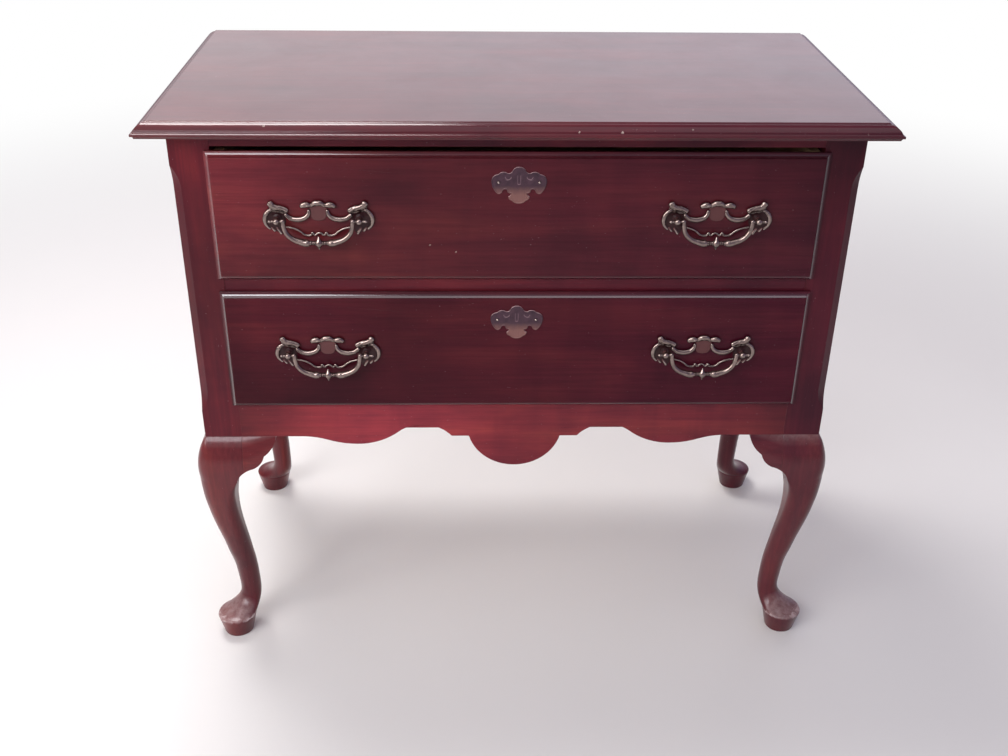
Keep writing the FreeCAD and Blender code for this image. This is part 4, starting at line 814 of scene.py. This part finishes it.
def escutcheon_mesh():
    """A thin shaped plate with a raised rim and stamped lines."""
    half = []
    for (corner, bend), (following, _) in zip(ESCUTCHEON, ESCUTCHEON[1:]):
        half += arc_points(corner, bend, following)
    half.append(ESCUTCHEON[-1][0])
    outline = half + [(-x, z) for x, z in reversed(half[1:-1])]
    edges = list(zip(outline, outline[1:] + outline[:1]))
    bm = bmesh.new()
    slab(bm, outline, 0.0, 1.0)

    def from_edge(x, z):
        best = 99.0
        for (ax, az), (bx, bz) in edges:
            dx, dz = bx - ax, bz - az
            s = max(0.0, min(1.0, ((x - ax) * dx + (z - az) * dz) / (dx * dx + dz * dz + 1e-9)))
            best = min(best, math.hypot(x - ax - s * dx, z - az - s * dz))
        return best

    def sculpt(co):
        """Raised rim, two engraved half rounds, a stamped keyhole shape and fine flutes down the tongue."""
        x, z, depth = abs(co.x), co.z, -co.y
        if depth < 0.6:
            return co
        inset = from_edge(co.x, z)
        lift = 0.2 * groove(inset - 0.7, 0.45) - 0.12 * groove(inset - 1.7, 0.5)
        round_x, round_z = x - 12.4, z - 6.2
        if round_z < 0.6:
            lift -= 0.3 * groove(math.hypot(round_x, round_z) - 3.6, 0.3)
        if -4 < z < 11.5:
            lift += 0.1 * groove(abs(x - 5.2 - 0.02 * (z - 3) ** 2), 0.6)
        keyhole = min(math.hypot(x, z - 8.6) - 2.0, max(abs(x) - 1.3, abs(z - 3.6) - 4.4))
        lift -= 0.22 * groove(keyhole, 0.35)
        if z < -3:
            lift += 0.05 * math.cos(x * 3.4) * min(1.0, (-3 - z) / 5)
        return Vector((co.x, -min(depth + lift, PLATE_FRONT), co.z))

    return cast("escutcheon_cast", bm, 0.25, 2, sculpt)


def nail_mesh():
    """The domed head of an escutcheon nail."""
    bm = bmesh.new()
    turned(bm, [(0.0, 1.55), (0.25, 1.7), (0.7, 1.55), (1.15, 1.2), (1.5, 0.7), (1.68, 0.15)], sides=24)
    return cast("nail_cast", bm, 0.12, 1)


# ---------------------------------------------------------------- brasses in their places


def piece(name, mesh, finish, place, body, stands_for=None):
    """A dressed brass that rides a body, in place of the CAD node that it stands for."""
    if not mesh.materials:
        mesh.materials.append(finish)
    obj = bpy.data.objects.new(name, mesh)
    bpy.context.scene.collection.objects.link(obj)
    obj.location = place
    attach(obj, body)
    if stands_for:
        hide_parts(stands_for)


backplate = backplate_mesh()
bail = bail_mesh()
escutcheon = escutcheon_mesh()
nail = nail_mesh()
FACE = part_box("upper_drawer_front")[0].y
joints = frame["record"]["behaviour"]["joints"]
pivots = {joint["child"]: Vector(joint["pos_m"]) for joint in joints if joint["type"] == "hinge"}
for tier in ("upper", "lower"):
    drawer = f"{tier}_drawer"
    centres = []
    for hand in ("left", "right"):
        pivot = pivots[f"{tier}_bail_{hand}"]
        centres.append(pivot.x / MM)
        plate_place = (pivot.x, FACE, pivot.z - PLATE_DROP * MM)
        plate_node = f"{tier}_backplate_{hand}"
        bail_node = f"{tier}_bail_{hand}"
        piece(f"{plate_node}_cast", backplate, plate_brass, plate_place, drawer, plate_node)
        piece(f"{bail_node}_cast", bail, brass, pivot, bail_node, bail_node)
    piece(f"{tier}_posts_cast", posts_mesh(centres), post_brass, (0, FACE, pivot.z), drawer,
          f"{tier}_pull_posts")
    nails_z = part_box(f"{tier}_escutcheon")[1].z - ESCUTCHEON_TOP * MM
    piece(f"{tier}_escutcheon_cast", escutcheon, dark_brass, (0, FACE, nails_z), drawer,
          f"{tier}_escutcheon")
    for side, word in ((-1, "a"), (1, "b")):
        nail_place = (side * NAIL_OUT * MM, FACE - PLATE_FRONT * MM, nails_z)
        piece(f"{tier}_nail_{word}_head", nail, nail_brass, nail_place, drawer)

# ---------------------------------------------------------------- stage

PALE = (0.80, 0.78, 0.76)
# Metres from the piece at which the floor begins to fade, and is white.
FADE_FROM = 1.0
FADE_TO = 2.6


def floor_surface():
    """Pale floor that holds the shadow and fades into the white background away from the piece."""
    t = Finish("pale_floor")
    shade = tuple(c * 0.985 for c in PALE)
    t.set(Base_Color=t.ramp(t.noise(3, 3, 0.5), [(0.3, shade), (0.7, PALE)]), Roughness=0.6)
    faded = t.span(t.distance((0, 0, 0)), FADE_FROM, FADE_TO, smooth=True)
    seen = t.node("ShaderNodeLightPath").outputs["Is Camera Ray"]
    white = t.node("ShaderNodeEmission")
    white.inputs["Color"].default_value = (1, 1, 1, 1)
    white.inputs["Strength"].default_value = 1.0
    blend = t.over(t.times(faded, seen), t.shader.outputs[0], white.outputs[0])
    t.link(blend, t.out.inputs["Surface"])
    return t.material


floor_mesh = bpy.data.meshes.new("floor")
floor_mesh.from_pydata([(-12, -12, 0), (12, -12, 0), (12, 14, 0), (-12, 14, 0)], [], [(0, 1, 2, 3)])
floor_mesh.materials.append(floor_surface())
floor = bpy.data.objects.new("floor", floor_mesh)
bpy.context.scene.collection.objects.link(floor)


def softbox(name, location, target, size, power, colour):
    """A rectangular area light turned to a point."""
    light = bpy.data.lights.new(name, "AREA")
    light.shape = "RECTANGLE"
    light.size, light.size_y = size
    light.energy = power
    light.color = colour
    obj = bpy.data.objects.new(name, light)
    bpy.context.scene.collection.objects.link(obj)
    obj.location = location
    obj.rotation_euler = (Vector(target) - Vector(location)).to_track_quat("-Z", "Y").to_euler()


softbox("window_left", (-1.5, -1.25, 1.2), (0, -0.1, 0.4), (1.0, 1.0), 15, (1.0, 0.97, 0.95))
softbox("front_window", (-1.3, -2.6, 2.4), (0, -0.1, 0.5), (1.6, 1.2), 44, (0.95, 0.96, 1.0))
softbox("ceiling_lamp", (-0.62, 0.65, 2.5), (-0.3, 0.0, 0.6), (0.9, 0.8), 40, (1.0, 0.98, 0.97))
softbox("ceiling", (-0.3, -0.9, 2.6), (-0.3, -0.9, 0), (3.0, 1.6), 12, (0.97, 0.97, 1.0))
softbox("wall_bounce", (0.2, 2.6, 2.1), (0, 0, 0.6), (4.2, 2.0), 25, (0.97, 0.92, 0.96))


def room_light():
    """Light from all round, stronger from low down and bluer from the right; white to the camera."""
    world = bpy.data.worlds.new("room")
    bpy.context.scene.world = world
    world.use_nodes = True
    t = Nodes(world.node_tree)
    way = t.split(t.node("ShaderNodeTexCoord").outputs["Generated"])
    lit = t.node("ShaderNodeBackground")
    t.link(t.mix(t.span(way["X"], -0.2, 0.7), (0.88, 0.86, 0.92), (0.74, 0.66, 1.0)), lit.inputs["Color"])
    t.link(t.span(way["Z"], 0.0, 0.45, 0.62, 0.30, smooth=True), lit.inputs["Strength"])
    white = t.node("ShaderNodeBackground")
    white.inputs["Color"].default_value = (1, 1, 1, 1)
    white.inputs["Strength"].default_value = 1.0
    seen = t.node("ShaderNodeLightPath").outputs["Is Camera Ray"]
    out = t.node("ShaderNodeOutputWorld")
    t.link(t.over(seen, lit.outputs[0], white.outputs[0]), out.inputs[0])


room_light()

# ---------------------------------------------------------------- camera

CAMERA_PLACE = Vector((-0.04924, -1.37396, 1.06280))
YAW, PITCH, ROLL = -0.0300, 0.5150, 0.0124
SENSOR_WIDTH = 36
FOCAL_LENGTH = 42.32

forward = Vector((-math.sin(YAW) * math.cos(PITCH), math.cos(YAW) * math.cos(PITCH), -math.sin(PITCH)))
sideways = Vector((math.cos(YAW), math.sin(YAW), 0))
upward = sideways.cross(forward)
right = sideways * math.cos(ROLL) + upward * math.sin(ROLL)
up = upward * math.cos(ROLL) - sideways * math.sin(ROLL)
camera_data = bpy.data.cameras.new("camera")
camera_data.sensor_width = SENSOR_WIDTH
camera_data.lens = FOCAL_LENGTH
camera_data.clip_start = 0.05
camera_data.clip_end = 60
camera = bpy.data.objects.new("camera", camera_data)
bpy.context.scene.collection.objects.link(camera)
turn = Matrix((right, up, -forward)).transposed()
camera.matrix_world = Matrix.Translation(CAMERA_PLACE) @ turn.to_4x4()
bpy.context.scene.camera = camera
bpy.context.scene.view_settings.view_transform = "Standard"
